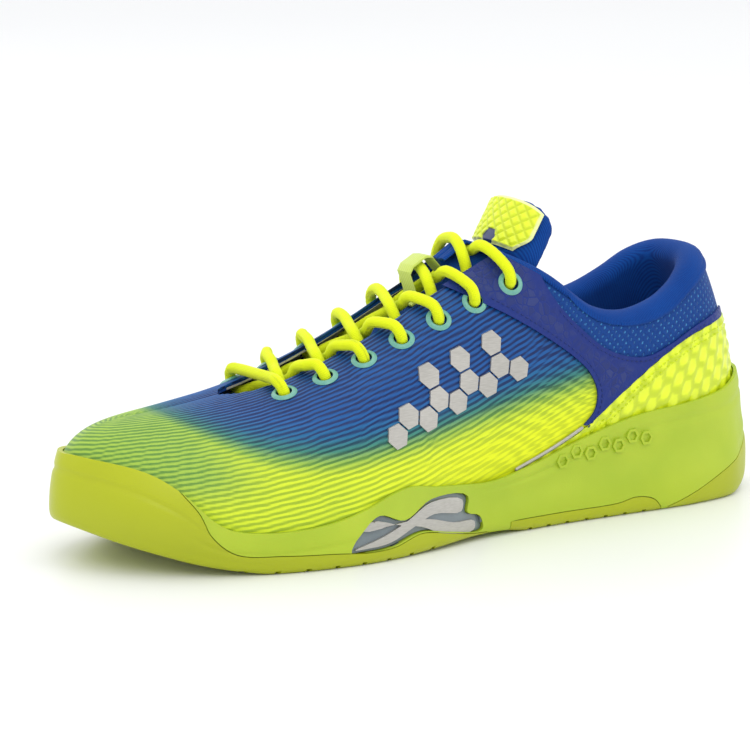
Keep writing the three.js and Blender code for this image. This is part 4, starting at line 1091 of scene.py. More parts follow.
def film(side):
    name = "side_film_" + side_name(side)
    step, tilt = CELL_RADIUS * CELL_PITCH, CELL_TILT
    skin = layer(name + "_skin", OVERLAY_IN - 0.4, OVERLAY_IN + 0.35, columns=90, rows=60)
    cells = []
    for column, row in CELL_PLACES:
        along, up = column * step * 1.5, (row + (column % 2) / 2) * step * math.sqrt(3)
        middle = [forward(CELL_START[0]) + along * math.cos(tilt) - up * math.sin(tilt),
                  CELL_START[1] + along * math.sin(tilt) + up * math.cos(tilt)]
        angles = np.arange(6) * math.pi / 3 + tilt
        ring = np.stack([np.cos(angles), np.sin(angles)], -1) * (step - CELL_GAP) + middle
        cells.append(prism("cell", ring, "Y", *half_space(side)))
    cells = joined(cells)
    within(skin, cells)
    discard(cells)
    return piece(skin, "silver_trim", replaces=[name])


# ------------------------------------------------------------------ padded collar


def padding_at(points):
    rise = smoothstep(points[..., 2], 58, 69)
    fade = smoothstep(-points[..., 0], -forward(104), -forward(90))
    return 6.5 * rise * fade


COLLAR_END = 0.43


def collar_padding():
    """The lining with its foam: up inside from the insole, over the rim as a round roll, and down to the seam."""
    count = 110
    a = np.linspace(-COLLAR_END, COLLAR_END, 2 * count + 1)
    collar_x, collar_z = side_line(COLLAR_LINE)
    seam_x, seam_z = side_line(LINING_SEAM)
    top = share_at(a, lambda p: p[..., 2] - np.interp(p[..., 0], collar_x, collar_z))
    seam = share_at(a, lambda p: p[..., 2] - np.interp(p[..., 0], seam_x, seam_z, right=HIGH))
    h = np.linspace(0, 1, 401)[:, None]
    line = form(a[None, :], h)
    run = rib_lengths(line)
    outer_rows, roll_rows, inner_rows = 10, 12, 44
    columns = []
    for k in range(len(a)):
        run_top = np.interp(top[k], h[:, 0], run[:, k])
        run_seam = min(np.interp(seam[k], h[:, 0], run[:, k]), run_top - 3.5)
        share = lambda s: np.interp(s, run[:, k], h[:, 0])
        probe = form(a[k], share(run_top - 5.0))
        thick = SHELL_OUT - REAR_LINING + float(padding_at(probe))
        radius = thick / 2
        tall = min(radius * 1.1, 4.6)
        middle = SHELL_OUT - radius
        s_out = np.linspace(run_seam, run_top - tall, outer_rows, endpoint=False)
        swell = 0.35 * np.sin(np.linspace(0, np.pi, outer_rows))
        angle = np.linspace(0, np.pi, roll_rows, endpoint=False)
        s_in = np.linspace(run_top - tall, 0.6, inner_rows)
        places = np.concatenate([s_out, run_top - tall + tall * np.sin(angle), s_in])
        shares = np.clip(share(places), 0.004, 0.999)
        padded = REAR_LINING - padding_at(form(a[k], shares[-inner_rows:]))
        distance = np.concatenate([SHELL_OUT + swell - 0.1, middle + radius * np.cos(angle), padded])
        columns.append(offset(a[k], shares, distance))
    grid = np.stack(columns, 1)
    rows, cols = grid.shape[:2]
    index = np.arange(rows * cols).reshape(rows, cols)
    quads = np.stack([index[:-1, :-1], index[:-1, 1:], index[1:, 1:], index[1:, :-1]], -1).reshape(-1, 4)
    skin = quad_object("collar_padding", grid.reshape(-1, 3), quads)
    return skin


def apply_modifiers(obj):
    depsgraph = bpy.context.evaluated_depsgraph_get()
    made = bpy.data.meshes.new_from_object(obj.evaluated_get(depsgraph))
    obj.modifiers.clear()
    old, obj.data = obj.data, made
    bpy.data.meshes.remove(old)
    return obj


def thickened(obj, thickness, side=-1):
    modifier = obj.modifiers.new("thickness", "SOLIDIFY")
    modifier.thickness = thickness * MM
    modifier.offset = side
    return apply_modifiers(obj)


# ------------------------------------------------------------------ sole


def envelope(points):
    return 3.7 + (SHELL_OUT + FIT - 3.7) * smoothstep(drawn(points[..., 0]), 142, 156)


def foot_room(columns=90, rows=40):
    """The room in the sole for the lasted upper."""
    a = ring_of(columns)
    h = np.linspace(0, 1, rows + 1)[:, None]
    walls = offset(a[None, :], h, envelope(form(a[None, :], h)))
    floor = walls[:1].copy()
    floor[..., 2] = form(a[None, :], 0)[..., 2] - 2.3
    return closed_ring("room", np.concatenate([floor, walls]), columns)


def closed_ring(name, grid, columns):
    """A ring of ribs that meet on one line at the top, closed by straight strips across the bottom."""
    index = zipped(np.arange(grid.shape[0] * grid.shape[1]).reshape(grid.shape[:2]), columns)
    bottom = strips(index[0], columns)
    faces = np.vstack([grid_quads(index), bottom])
    used, places = np.unique(faces, return_inverse=True)
    corners = [list(dict.fromkeys(face)) for face in places.reshape(faces.shape).tolist()]
    return tidy_quads(new_object(name, grid.reshape(-1, 3)[used], [face for face in corners if len(face) > 2]))


def strips(loop, columns):
    """Faces across a ring, from each point of one side to the same place on the other."""
    size = 2 * columns
    left = [loop[(columns + k) % size] for k in range(columns + 1)]
    right = [loop[(columns - k) % size] for k in range(columns + 1)]
    return np.array([[left[k], right[k], right[k + 1], left[k + 1]] for k in range(columns)])


def tidy_quads(obj):
    shape = bmesh.new()
    shape.from_mesh(obj.data)
    bmesh.ops.remove_doubles(shape, verts=shape.verts, dist=1e-7)
    bmesh.ops.dissolve_degenerate(shape, edges=shape.edges, dist=1e-7)
    bmesh.ops.triangulate(shape, faces=[f for f in shape.faces if len(f.verts) > 4])
    bmesh.ops.recalc_face_normals(shape, faces=shape.faces)
    shape.to_mesh(obj.data)
    shape.free()
    return obj


def lip(d):
    return 1.4 + 2.0 * smoothstep(d, 240, 285)


def sole_section(a, inset, raised, rows):
    """Points up the side of the sole at each place of the ring, from the floor to the rim."""
    here = sole_plan.at(a)
    here = np.concatenate([here, np.zeros((len(a), 1))], -1)
    inwards = unit(form_normal(a, 0.0) * [1, 1, 0]) * -1
    d = drawn(here[:, 0])
    top = midsole_top(d)
    floor = ground(d) + raised
    share = share_at(a, lambda p: p[..., 2] - top)
    rim = offset(a, share, envelope(form(a, share)) + lip(d)) + inwards * inset
    rim[:, 2] = top
    low = floor + (0.5 if raised else 4)

    def side(z, inward):
        point = here + inwards * (inset + inward)
        point[:, 2] = z
        return point

    middle = side((low + top) / 2, 0.8)
    beside = share_at(a, lambda p: p[..., 2] - middle[:, 2])
    cover = offset(a, beside, envelope(form(a, beside)) + WALL_COVER)
    short = -np.einsum("ij,ij->i", cover - middle, inwards) - inset
    middle -= inwards * np.maximum(short, 0)[:, None]
    knots = np.stack([side(floor, BOTTOM_INSET), side(low, 0), middle, rim])
    if raised or rows <= 4:
        return knots, inwards
    # a rounded foot edge, then an easy curve up to the rim
    t = np.linspace(0, 1, 7)[:, None, None]
    corner = side(floor, 0.2)
    foot = (1 - t) ** 2 * knots[0] + 2 * t * (1 - t) * corner + t * t * knots[1]
    t = np.linspace(0, 1, rows)[1:, None, None]
    wall = (1 - t) ** 2 * knots[1] + 2 * t * (1 - t) * (2 * middle - (knots[1] + rim) / 2) + t * t * rim
    return np.concatenate([foot, wall]), inwards


def sole_block(name, inset=0, raised=0, columns=150, rows=26, shape=None):
    a = ring_of(columns)
    grid, inwards = sole_section(a, inset, raised, rows if not raised else 4)
    if shape is not None:
        grid = grid + inwards[None] * shape(grid)[..., None]
    size = grid.shape[1]
    index = np.arange(grid.shape[0] * size).reshape(grid.shape[:2])
    faces = np.vstack([grid_quads(index), strips(index[0], columns)[:, ::-1], strips(index[-1], columns)])
    corners = [list(dict.fromkeys(face)) for face in faces.tolist()]
    return tidy_quads(new_object(name, grid.reshape(-1, 3), corners))


def sole_outline(points):
    line = catmull(points, 8)
    return np.stack([forward(line[:, 0]), line[:, 1]], -1)


def under(line):
    return np.vstack([line, [[line[-1, 0], -10], [line[0, 0], -10]]])


def grown(outline, distance):
    area = np.sum(outline[:, 0] * np.roll(outline[:, 1], -1) - np.roll(outline[:, 0], -1) * outline[:, 1])
    ring = np.vstack([outline[-1:], outline, outline[:1]])
    along = unit(ring[2:] - ring[:-2])
    side = -distance if area > 0 else distance
    return outline + np.stack([-along[:, 1], along[:, 0]], -1) * side


FORE_TOP = [[142, 2.6], [150, 3.4], [162, 5.6], [177, 8], [190, 5], [203, 4.6], [214, 5.6],
            [235, 6.8], [252, 8.4], [260, 15], [264, 24], [270, 34], [280, 60], [310, 64]]
HEEL_TOP = [[59, 1], [63, 5], [71, 6.6], [80, 5.2], [106, 5], [131, 5]]
CRASH_TOP = [[-12, 26], [5, 21.5], [18, 14.5], [40, 6], [55.5, 1]]
BRACE_OUTLINE = [[209, 5.6], [203, 13], [196, 17.2], [185, 14], [171, 19.6], [152.5, 17.8], [153.5, 12],
                 [147, 9.5], [146, 4.6], [162, 6.6], [177, 9], [192, 5.6], [203, 5.2]]
BRACE_ARMS = [[[203.5, 12.6], [199.5, 15.6], [186, 12.4], [177, 10.6], [165, 6.0], [150, 4.9], [149.5, 8.2],
               [160, 9.4], [172, 12.6], [184, 13.6]],
              [[207.5, 6.2], [203, 6.2], [192, 7.0], [180, 11.2], [170, 14.2], [156, 13.0], [155, 17.0],
               [171, 18.6], [184, 13.4], [195, 9.6]]]


def side_sculpt(grid):
    """Moulded lines on the sole's sides: a waist, a step under the heel panel and a ledge along the shank."""
    d, z = drawn(grid[..., 0]), grid[..., 2]
    top = midsole_top(d)
    floor = ground(d)
    share = np.clip((z - floor) / np.maximum(top - floor, 1), 0, 1)
    rear = 1 - smoothstep(d, 118, 150)
    hollow = 0.9 * np.exp(-((share - 0.62) / 0.2) ** 2) * rear
    groove = 0.55 * np.exp(-((share - 0.86) / 0.035) ** 2) * rear
    toe = smoothstep(d, 255, 275)
    ledge = 0.5 * np.exp(-((share - 0.78) / 0.04) ** 2) * toe
    heel_steps = 0.6 * np.exp(-((share - 0.4) / 0.05) ** 2) * (1 - smoothstep(d, 8, 24))
    fore = smoothstep(d, 190, 215) * (1 - toe)
    line = 0.35 * np.exp(-((share - 0.5) / 0.06) ** 2) * fore
    return (hollow + groove + ledge + heel_steps + line) * smoothstep(share, 0.05, 0.2)


def make_sole():
    whole = sole_block("midsole_body", columns=170, rows=34, shape=side_sculpt)
    room = foot_room()
    core = sole_block("core", OUTSOLE_WALL, OUTSOLE, columns=80)
    inner_core = sole_block("inner_core", OUTSOLE_WALL + FIT, OUTSOLE + FIT, columns=80)
    lines = {"outsole_forefoot": under(sole_outline(FORE_TOP)), "outsole_heel": under(sole_outline(HEEL_TOP)),
             "outsole_crash_pad": under(np.array([[forward(d), z] for d, z in CRASH_TOP]))}
    made = {}
    for name, line in lines.items():
        part = copy_of(whole, name + "_moulding")
        zone = prism("zone", line, "Y", -FAR, FAR)
        within(part, zone)
        less(part, core, room)
        discard(zone)
        made[name] = part
    body = whole
    for line in lines.values():
        zone = prism("zone", grown(line, FIT), "Y", -FAR, FAR)
        less(body, zone)
        discard(zone)
    boolean(body, inner_core, "UNION")
    less(body, room)
    outline = catmull(BRACE_OUTLINE, 5, closed=True)
    outline[:, 0] = forward(outline[:, 0])
    outer = sole_block("outer", -2, columns=90, rows=20)
    inner = sole_block("inner", 1.0 + 2.8 + FIT, columns=90, rows=20)
    less(outer, inner)
    window = prism("window", grown(outline, FIT), "Y", -FAR, FAR)
    within(window, outer)
    less(body, window)
    discard(outer, inner, window)
    made["midsole"] = body
    made["midsole_marks"] = sole_marks()
    made.update(make_braces(outline, room))
    channel = prism("channel", [[forward(88), -11], [forward(140), -16], [forward(140), 16], [forward(88), 11]], "Z",
                    -10, 7)
    less(made["outsole_heel"], channel)
    tread(made)
    discard(room, core, inner_core, channel)
    return made


MARK_COUNT, MARK_STEP, MARK_OUTER, MARK_INNER = 7, 6.6, 3.0, 1.9
MARK_START = (66, 30.5)


def six_sided(place, height, radius):
    angles = np.arange(6) * math.pi / 3
    return [[forward(place) + radius * math.cos(t), height + radius * math.sin(t)] for t in angles]


def sole_marks():
    """A plain raised row of small six-sided marks on the rear of the sole's outer side."""
    raised = sole_block("raised_marks", -0.35, columns=90, rows=20)
    inside = sole_block("inside_marks", 1.2, columns=90, rows=20)
    less(raised, inside)
    marks = []
    for k in range(MARK_COUNT):
        place = MARK_START[0] + k * MARK_STEP
        height = MARK_START[1] - k * 0.75 + (1.1 if k % 2 else -1.1)
        mark = prism("mark", six_sided(place, height, MARK_OUTER), "Y", *half_space(1))
        core = prism("mark_core", six_sided(place, height, MARK_INNER), "Y", *half_space(1))
        less(mark, core)
        discard(core)
        marks.append(mark)
    marks = joined(marks)
    within(marks, raised)
    discard(raised, inside)
    marks.name = "midsole_marks"
    return marks


def make_braces(outline, room):
    """A dark glossy backing on each side, with two silver arms that cross over it."""
    backing = sole_block("backing", 1.6, columns=90, rows=20)
    raised = sole_block("raised", 0.5, columns=90, rows=20)
    inside = sole_block("inside", 3.8, columns=90, rows=20)
    made = {}
    for side, name in ((1, "lateral"), (-1, "medial")):
        plate = prism("plate", outline, "Y", *half_space(side))
        within(plate, backing)
        less(plate, inside, room)
        arms = []
        for arm in BRACE_ARMS:
            ring = catmull(arm, 4, closed=True)
            ring[:, 0] = forward(ring[:, 0])
            arms.append(prism("bar", ring, "Y", *half_space(side)))
        arms = joined(arms)
        within(arms, raised)
        less(arms, inside, room)
        plate.name, arms.name = "brace_backing_" + name, "brace_arms_" + name
        made["brace_backing_" + name], made["shank_brace_" + name] = plate, arms
    discard(backing, raised, inside)
    return made


def tread(made):
    """Grooves under the sole: a herringbone under the forefoot and bars under the heel."""
    for d in range(168, 270, 11):
        ring = [[forward(d), -60], [forward(d + 9), 0], [forward(d), 60], [forward(d + 2), 60],
                [forward(d + 11), 0], [forward(d + 2), -60]]
        bar = prism("bar", ring, "Z", -1, float(ground(d)) + 1.3)
        less(made["outsole_forefoot"], bar)
        discard(bar)
    for d in range(66, 130, 9):
        bar = prism("bar", [[forward(d), -60], [forward(d + 1.8), -60], [forward(d + 1.8), 60], [forward(d), 60]],
                    "Z", -1, 1.2)
        less(made["outsole_heel"], bar)
        discard(bar)


# ------------------------------------------------------------------ tubes and stitches


def tube(name, line, radius, sides=16, flat=1.0, up=(0, 0, 1), texture=0.0):
    """A round or slightly flat cord along a line, with rounded ends."""
    line = np.asarray(line, float)
    tangent = unit(np.gradient(line, axis=0))
    normal = np.empty_like(line)
    normal[0] = unit(np.cross(np.cross(tangent[0], up), tangent[0]) + 1e-6)
    for i in range(1, len(line)):
        turned = normal[i - 1] - tangent[i] * np.dot(normal[i - 1], tangent[i])
        normal[i] = unit(turned)
    binormal = np.cross(tangent, normal)
    run = lengths(line)
    angle = np.arange(sides) * 2 * np.pi / sides
    r = np.full((len(line), sides), float(radius))
    if texture:
        phase = 2 * np.pi / 2.4
        r += texture * (np.sin(run[:, None] * phase + angle * 3) * np.sin(run[:, None] * phase - angle * 3))
    ends = np.minimum(run, run[-1] - run)
    cap = np.sqrt(np.clip(1 - (1 - np.clip(ends / (radius * 0.8), 0, 1)) ** 2, 0.02, 1))
    r *= cap[:, None]
    wide, tall = (np.cos(angle) * r * flat)[..., None], (np.sin(angle) * r)[..., None]
    ring = line[:, None] + normal[:, None] * wide + binormal[:, None] * tall
    verts = np.vstack([ring.reshape(-1, 3), line[:1], line[-1:]])
    n = len(line)
    i, k = np.arange(n - 1)[:, None], np.arange(sides)[None, :]
    k2 = (k + 1) % sides
    quads = np.stack([i * sides + k, i * sides + k2, (i + 1) * sides + k2, (i + 1) * sides + k], -1).reshape(-1, 4)
    faces = [list(q) for q in quads]
    first, last = n * sides, n * sides + 1
    faces += [[first, (j + 1) % sides, j] for j in range(sides)]
    faces += [[last, (n - 1) * sides + j, (n - 1) * sides + (j + 1) % sides] for j in range(sides)]
    obj = new_object(name, verts, faces)
    along = np.concatenate([np.repeat(run, sides), [0, run[-1]]])
    round_it = np.concatenate([np.tile(angle * radius, n), [0, 0]])
    set_attribute(obj, "cloth", np.column_stack([along, round_it, np.zeros(len(along))]))
    return obj


def dense(points, step=1.0, closed=False):
    line = catmull(points, 12, closed)
    return resampled(line, max(8, int(lengths(line)[-1] / step)))


def make_laces():
    line = dense(LACE_ROUTE, 0.8)
    lace = tube("lace_braid", line, LACE / 2 - 0.05, 18, texture=0.09)
    piece(lace, "lace_fabric", replaces=["lace"], angle=180)
    for side, route in TAILS.items():
        line = dense(route, 0.8)
        tail = tube("lace_tail_" + side + "_braid", line, LACE / 2 - 0.05, 18, texture=0.09)
        piece(tail, "lace_fabric", replaces=["lace_tail_" + side], angle=180)
        along = unit(line[-1] - line[-2])
        start = line[-1] + along * 0.1
        tip_line = np.array([start + along * s for s in np.linspace(0, 22, 40)])
        tip = tube("aglet_" + side + "_tip", tip_line, 1.7, 20)
        piece(tip, "lace_tip", replaces=["aglet_" + side], angle=60)


def stitches(name, runs, thread, pitch=2.6, length=1.7, width=0.42):
    """Short raised threads along lines of points with their normals."""
    verts, faces = [], []
    ring = [(-0.5, 0), (-0.32, 0.5), (0.32, 0.5), (0.5, 0), (0.32, -0.5), (-0.32, -0.5)]
    for points, normals in runs:
        run = lengths(points)
        for s in np.arange(pitch / 2, run[-1] - pitch / 2, pitch):
            at = np.array([np.interp(s, run, points[:, k]) for k in range(3)])
            ahead = np.array([np.interp(s + 0.4, run, points[:, k]) for k in range(3)])
            out = unit(np.array([np.interp(s, run, normals[:, k]) for k in range(3)]))
            along = unit(ahead - at)
            across = np.cross(out, along)
            start = len(verts)
            for x, y in ring:
                verts.append(at + along * x * length + across * y * width)
            for x, y in ring:
                verts.append(at + along * x * length * 0.72 + across * y * width * 0.6 + out * 0.28)
            faces += [[start + i, start + (i + 1) % 6, start + 6 + (i + 1) % 6, start + 6 + i] for i in range(6)]
            faces += [[start + 6 + i for i in range(6)], [start + 5 - i for i in range(6)]]
    obj = new_object(name, np.array(verts), faces)
    tidy_quads(obj)
    return piece(obj, None, material=THREAD[thread], angle=60)


def stitch_run(points, side, height, steps=12):
    """A line of the upper seen from one side, laid on a layer."""
    line = catmull(points, steps)
    a, h = on_side(np.stack([forward(line[:, 0]), line[:, 1]], -1), side)
    return offset(a, h, height), form_normal(a, h)


def inset_line(points, distance):
    line = shifted(catmull(points, 6), distance)
    return line[::3].tolist()


def make_stitches():
    runs = []
    for side in (1, -1):
        for gap in (2.6, 4.6):
            line = [p for p in inset_line(PANEL_EDGE, -gap) if 8 < p[0] < 124]
            runs.append(stitch_run(line, side, PANEL_OUT - 0.1, 6))
    stitches("panel_stitches", runs, "yellow", 2.2, 1.5, 0.5)
    runs = []
    for side in (1, -1):
        line = [p for p in inset_line(OVERLAY_FRONT, 1.8) if p[0] < 138]
        runs.append(stitch_run(line, side, OVERLAY_OUT, 6))
        line = [p for p in inset_line(MESH_EDGE, -1.8) if 30 < p[0] < 106]
        runs.append(stitch_run(line, side, OVERLAY_OUT, 6))
    stitches("overlay_stitches", runs, "navy", 2.2, 1.5, 0.45)


RIM_STEPS = 28
RIM_SECTION = [(3.05, 0.2), (3.05, 0.75), (3.5, 0.95), (4.3, 0.7), (4.9, 0.1), (4.6, -0.3), (3.3, -0.3)]


def make_eyelet_rims():
    rings = []
    for side in EYELETS.values():
        for place, way, _, outside in side:
            turn = Vector(way).to_track_quat("Z", "Y").to_matrix()
            place, way = np.array(place), np.array(way)
            angle = np.arange(RIM_STEPS) * 2 * np.pi / RIM_STEPS
            ring = [np.array(turn @ Vector((r * math.cos(t), r * math.sin(t), z + outside - 0.1)))
                    for t in angle for r, z in RIM_SECTION]
            rings.append(np.array(ring) + place)
    size = len(RIM_SECTION)
    verts, faces = np.vstack(rings), []
    for n in range(len(rings)):
        for i in range(RIM_STEPS):
            here = (n * RIM_STEPS + i) * size
            ahead = (n * RIM_STEPS + (i + 1) % RIM_STEPS) * size
            faces += [[here + j, ahead + j, ahead + (j + 1) % size, here + (j + 1) % size] for j in range(size)]
    rims = tidy_quads(new_object("eyelet_rims", verts, faces))
    f = Finish("eyelet_film", Coat_Weight=0.3)
    grain = f.noise(1.2, 3)
    material = f.surface(Base_Color=f.mix(grain, colour("4f9d90"), colour("7fb9a4")), Roughness=0.35 + grain * 0.2)
    piece(rims, None, material=material)


# ------------------------------------------------------------------ tongue

HINGE = np.array([float(forward(121)), 2.2, 100.0])
PAD_UP = unit(np.array([-11.0, 0, 18.5]))
PAD_OUT = unit(np.array([18.5, 0, 11.0]))
PAD_RADIUS, PAD_LENGTH, PAD_THICK = 25.0, 27.5, 8.0
PAD_HALF, BADGE_HALF = math.radians(60), math.radians(44)
BADGE_LOW, BADGE_EDGE, DIAMOND = 6.2, 1.6, 5.0


def pad_point(along, angle, out):
    radius = PAD_RADIUS + out
    point = HINGE + np.asarray(along)[..., None] * PAD_UP
    point = point + (radius * np.cos(angle) - PAD_RADIUS)[..., None] * PAD_OUT
    point[..., 1] += radius * np.sin(angle)
    return point


def pad_top(angle):
    return PAD_LENGTH * (1 - 0.28 * (angle / PAD_HALF) ** 4)


def pillow(share, power=0.5):
    """0 at both ends of 0 to 1, full between them."""
    return np.clip(1 - np.abs(2 * share - 1) ** 2.6, 0, 1) ** power


def tongue_pad():
    """A stuffed pad with round edges, bent round the ankle."""
    wide, tall_rows = 44, 30
    i, j = np.linspace(0, 1, wide + 1)[:, None], np.linspace(0, 1, tall_rows + 1)[None, :]
    angle = (2 * i - 1) * PAD_HALF + 0 * j
    along = 0.5 + (pad_top(angle) - 0.5) * j
    full = pillow(i) * pillow(0.08 + 0.92 * j)
    middle = -PAD_THICK / 2
    front = pad_point(along, angle, middle + PAD_THICK / 2 * full)
    back = pad_point(along, angle, middle - PAD_THICK / 2 * full)
    grid = np.concatenate([front, back[:, ::-1][:, 1:-1]], 1)
    rows, cols = grid.shape[:2]
    index = np.arange(rows * cols).reshape(rows, cols)
    quads = grid_quads(index)
    n = front.shape[1]
    caps = []
    for row, flip in ((index[0], False), (index[-1], True)):
        other = [row[0]] + list(row[n:][::-1]) + [row[n - 1]]
        for k in range(n - 1):
            face = [row[k], row[k + 1], other[k + 1], other[k]]
            caps.append(face[::-1] if flip else face)
    obj = new_object("tongue_pad_stuffed", grid.reshape(-1, 3), [list(q) for q in quads] + [list(c) for c in caps])
    tidy_quads(obj)
    puff(obj, voxel=1.6, pressure=2.5, most=0.9)
    return obj


def puff(obj, voxel, pressure, most):
    """Inflates a closed piece a little as cloth, with each point's travel capped."""
    shape = obj.modifiers.new("remesh", "REMESH")
    shape.mode = "VOXEL"
    shape.voxel_size = voxel * MM
    apply_modifiers(obj)
    start = points_of(obj) * MM
    cloth = obj.modifiers.new("cloth", "CLOTH")
    cloth.settings.use_pressure = True
    cloth.settings.uniform_pressure_force = pressure
    cloth.settings.effector_weights.gravity = 0
    cloth.settings.quality = 4
    cloth.settings.mass = 0.2
    cloth.settings.tension_stiffness = 25
    cloth.settings.shear_stiffness = 15
    scene = bpy.context.scene
    for number in range(1, 13):
        scene.frame_set(number)
    apply_modifiers(obj)
    scene.frame_set(1)
    end = points_of(obj) * MM
    if len(end) == len(start) and np.isfinite(end).all():
        move = end - start
        far = np.linalg.norm(move, axis=1, keepdims=True)
        end = start + move * np.minimum(1, most * MM / np.maximum(far, 1e-9))
    else:
        end = start
    obj.data.vertices.foreach_set("co", end.astype(np.float32).ravel())
    obj.data.update()
    smooth = obj.modifiers.new("smooth", "SUBSURF")
    smooth.levels = smooth.render_levels = 1
    apply_modifiers(obj)


def tongue_badge():
    """The neon front of the tongue, embossed with low diamonds, with a plain dark six-sided mark."""
    wide, tall_rows = 110, 90
    i, j = np.linspace(0, 1, wide + 1)[:, None], np.linspace(0, 1, tall_rows + 1)[None, :]
    angle = (2 * i - 1) * BADGE_HALF + 0 * j
    top = pad_top(angle) - BADGE_EDGE
    along = BADGE_LOW + (top - BADGE_LOW) * j
    angle = angle * (0.72 + 0.28 * smoothstep(along, 5, 14))
    across = angle * PAD_RADIUS
    slopes = [1 - np.abs(2 * (x / DIAMOND % 1) - 1) for x in (across + along, across - along)]
    hill = np.minimum(*slopes) * 2
    hill = np.clip(hill, 0, 1)
    edge = np.minimum(np.minimum(i, 1 - i) * 2 * BADGE_HALF * PAD_RADIUS, np.minimum(j, 1 - j) * 20)
    rim = smoothstep(edge, 0, 1.3)
    dx, dy = across - 1.0, along - 8.6
    mark = np.maximum(np.abs(dy), np.abs(dy) * 0.5 + np.abs(dx) * math.sqrt(3) / 2)
    in_mark = 1 - smoothstep(mark, 3.1, 3.4)
    height = 0.25 + (0.75 + 0.65 * hill * (1 - in_mark)) * rim
    front = pad_point(along, angle, height)
    back = pad_point(along, angle, np.full(along.shape, 0.05))
    obj = closed_sheet("tongue_badge_face", front, back)
    values = np.concatenate([hill.ravel(), np.zeros(hill.size)])
    set_attribute(obj, "hill", values)
    set_attribute(obj, "mark", np.concatenate([in_mark.ravel(), np.zeros(hill.size)]))
    set_attribute(obj, "border", np.tile((1 - smoothstep(edge, 0.9, 1.3)).ravel(), 2))
    f = Finish("tongue_badge_film", Coat_Weight=0.3, Coat_Roughness=0.25)
    grain = f.noise(1.5, 3)
    # valleys between the diamonds darker and their tops lighter: painted shade and painted light over the embossed
    # relief
    base = f.mix(f.attribute("hill"), colour("cbdc0c"), colour("e9f720"))
    base = f.mix(f.attribute("border"), base, colour("eef5a4"))
    material = f.surface(Base_Color=f.mix(f.attribute("mark"), base, colour("122a66")), Roughness=0.34 + grain * 0.2,
                         Normal=f.bump(grain, 0.05, 0.5))
    return obj, material


def closed_sheet(name, front, back):
    """A sheet between two equal grids of points, closed round its edges."""
    rows, cols = front.shape[:2]
    index = np.arange(rows * cols).reshape(rows, cols)
    face = np.stack([index[:-1, :-1], index[:-1, 1:], index[1:, 1:], index[1:, :-1]], -1).reshape(-1, 4)
    rim = np.concatenate([index[0, :], index[1:, -1], index[-1, -2::-1], index[-2:0:-1, 0]])
    rim_other = rim + rows * cols
    walls = np.stack([np.roll(rim, -1), rim, rim_other, np.roll(rim_other, -1)], -1)
    quads = np.vstack([face, face[:, ::-1] + rows * cols, walls])
    obj = new_object(name, np.vstack([front.reshape(-1, 3), back.reshape(-1, 3)]), quads)
    shape = bmesh.new()
    shape.from_mesh(obj.data)
    bmesh.ops.recalc_face_normals(shape, faces=shape.faces)
    shape.to_mesh(obj.data)
    shape.free()
    return obj


def tongue_base():
    """The long lined tongue under the lace, quilted in rows."""
    def face(a, h):
        d = drawn(form(a, h)[..., 0])
        low = TONGUE_OUT + (-FIT - TONGUE_OUT) * smoothstep(d, 217, 230)
        quilt = 0.5 * np.abs(np.sin(d * np.pi / 7.0))
        return low - 0.5 + quilt

    def back(a, h):
        d = drawn(form(a, h)[..., 0])
        rise = smoothstep(d, 217, 230)
        return TONGUE_OUT + (-FIT - TONGUE_OUT) * rise - (4 + (2.2 - 4) * rise)

    skin = layer("tongue_base_skin", back, face, columns=200, rows=60, inner_rows=30)
    edge = np.array([[100, 40], [215, 40], [232, 24], [241, 12], [244, 0]], float)
    middle = ridge_shift(edge[:, 0])
    plan = np.vstack([np.stack([forward(edge[:, 0]), middle + edge[:, 1]], -1),
                      np.stack([forward(edge[:, 0]), middle - edge[:, 1]], -1)[::-1][1:]])
    zone = prism("zone", plan, "Z", 27, HIGH)
    x, z = HINGE[0], HINGE[2]
    end = prism("end", [[x - 60, z + 20], [x + 12, z + 20], [x + FIT, z], [x - 29, z - 50], [x - 60, 0]], "Y", -FAR, FAR)
    sides = region_below([[100, 84], [124, 79], [150, 67], [182, 53.5], [215, 44], [236, 42]])
    within(skin, zone)
    less(skin, end, sides)
    discard(zone, end, sides)
    return piece(skin, "lining_fabric", replaces=["tongue_base"])


def tongue_bridge():
    """The fabric that joins the tongue to its padded top."""
    wide, rows = 36, 12
    i, j = np.linspace(0, 1, wide + 1)[:, None], np.linspace(0, 1, rows + 1)[None, :]
    angle = (2 * i - 1) * math.radians(52) + 0 * j
    along = -3.4 + 5.4 * j + 0 * i
    sink = -1.2 * (1 - smoothstep(along, -3.4, 0.5))
    front = pad_point(along, angle, -2.4 + sink)
    back = pad_point(along, angle, -5.6 + sink * 0.5)
    obj = closed_sheet("tongue_bridge", front, back)
    soften(obj, 60)
    finish_as(obj, "lining_fabric")
    start, end = HINGE + PAD_UP * -3.0, HINGE + PAD_UP * 2.4
    tuple(start * MM)
    tuple(end * MM)
    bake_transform(obj)
    return obj


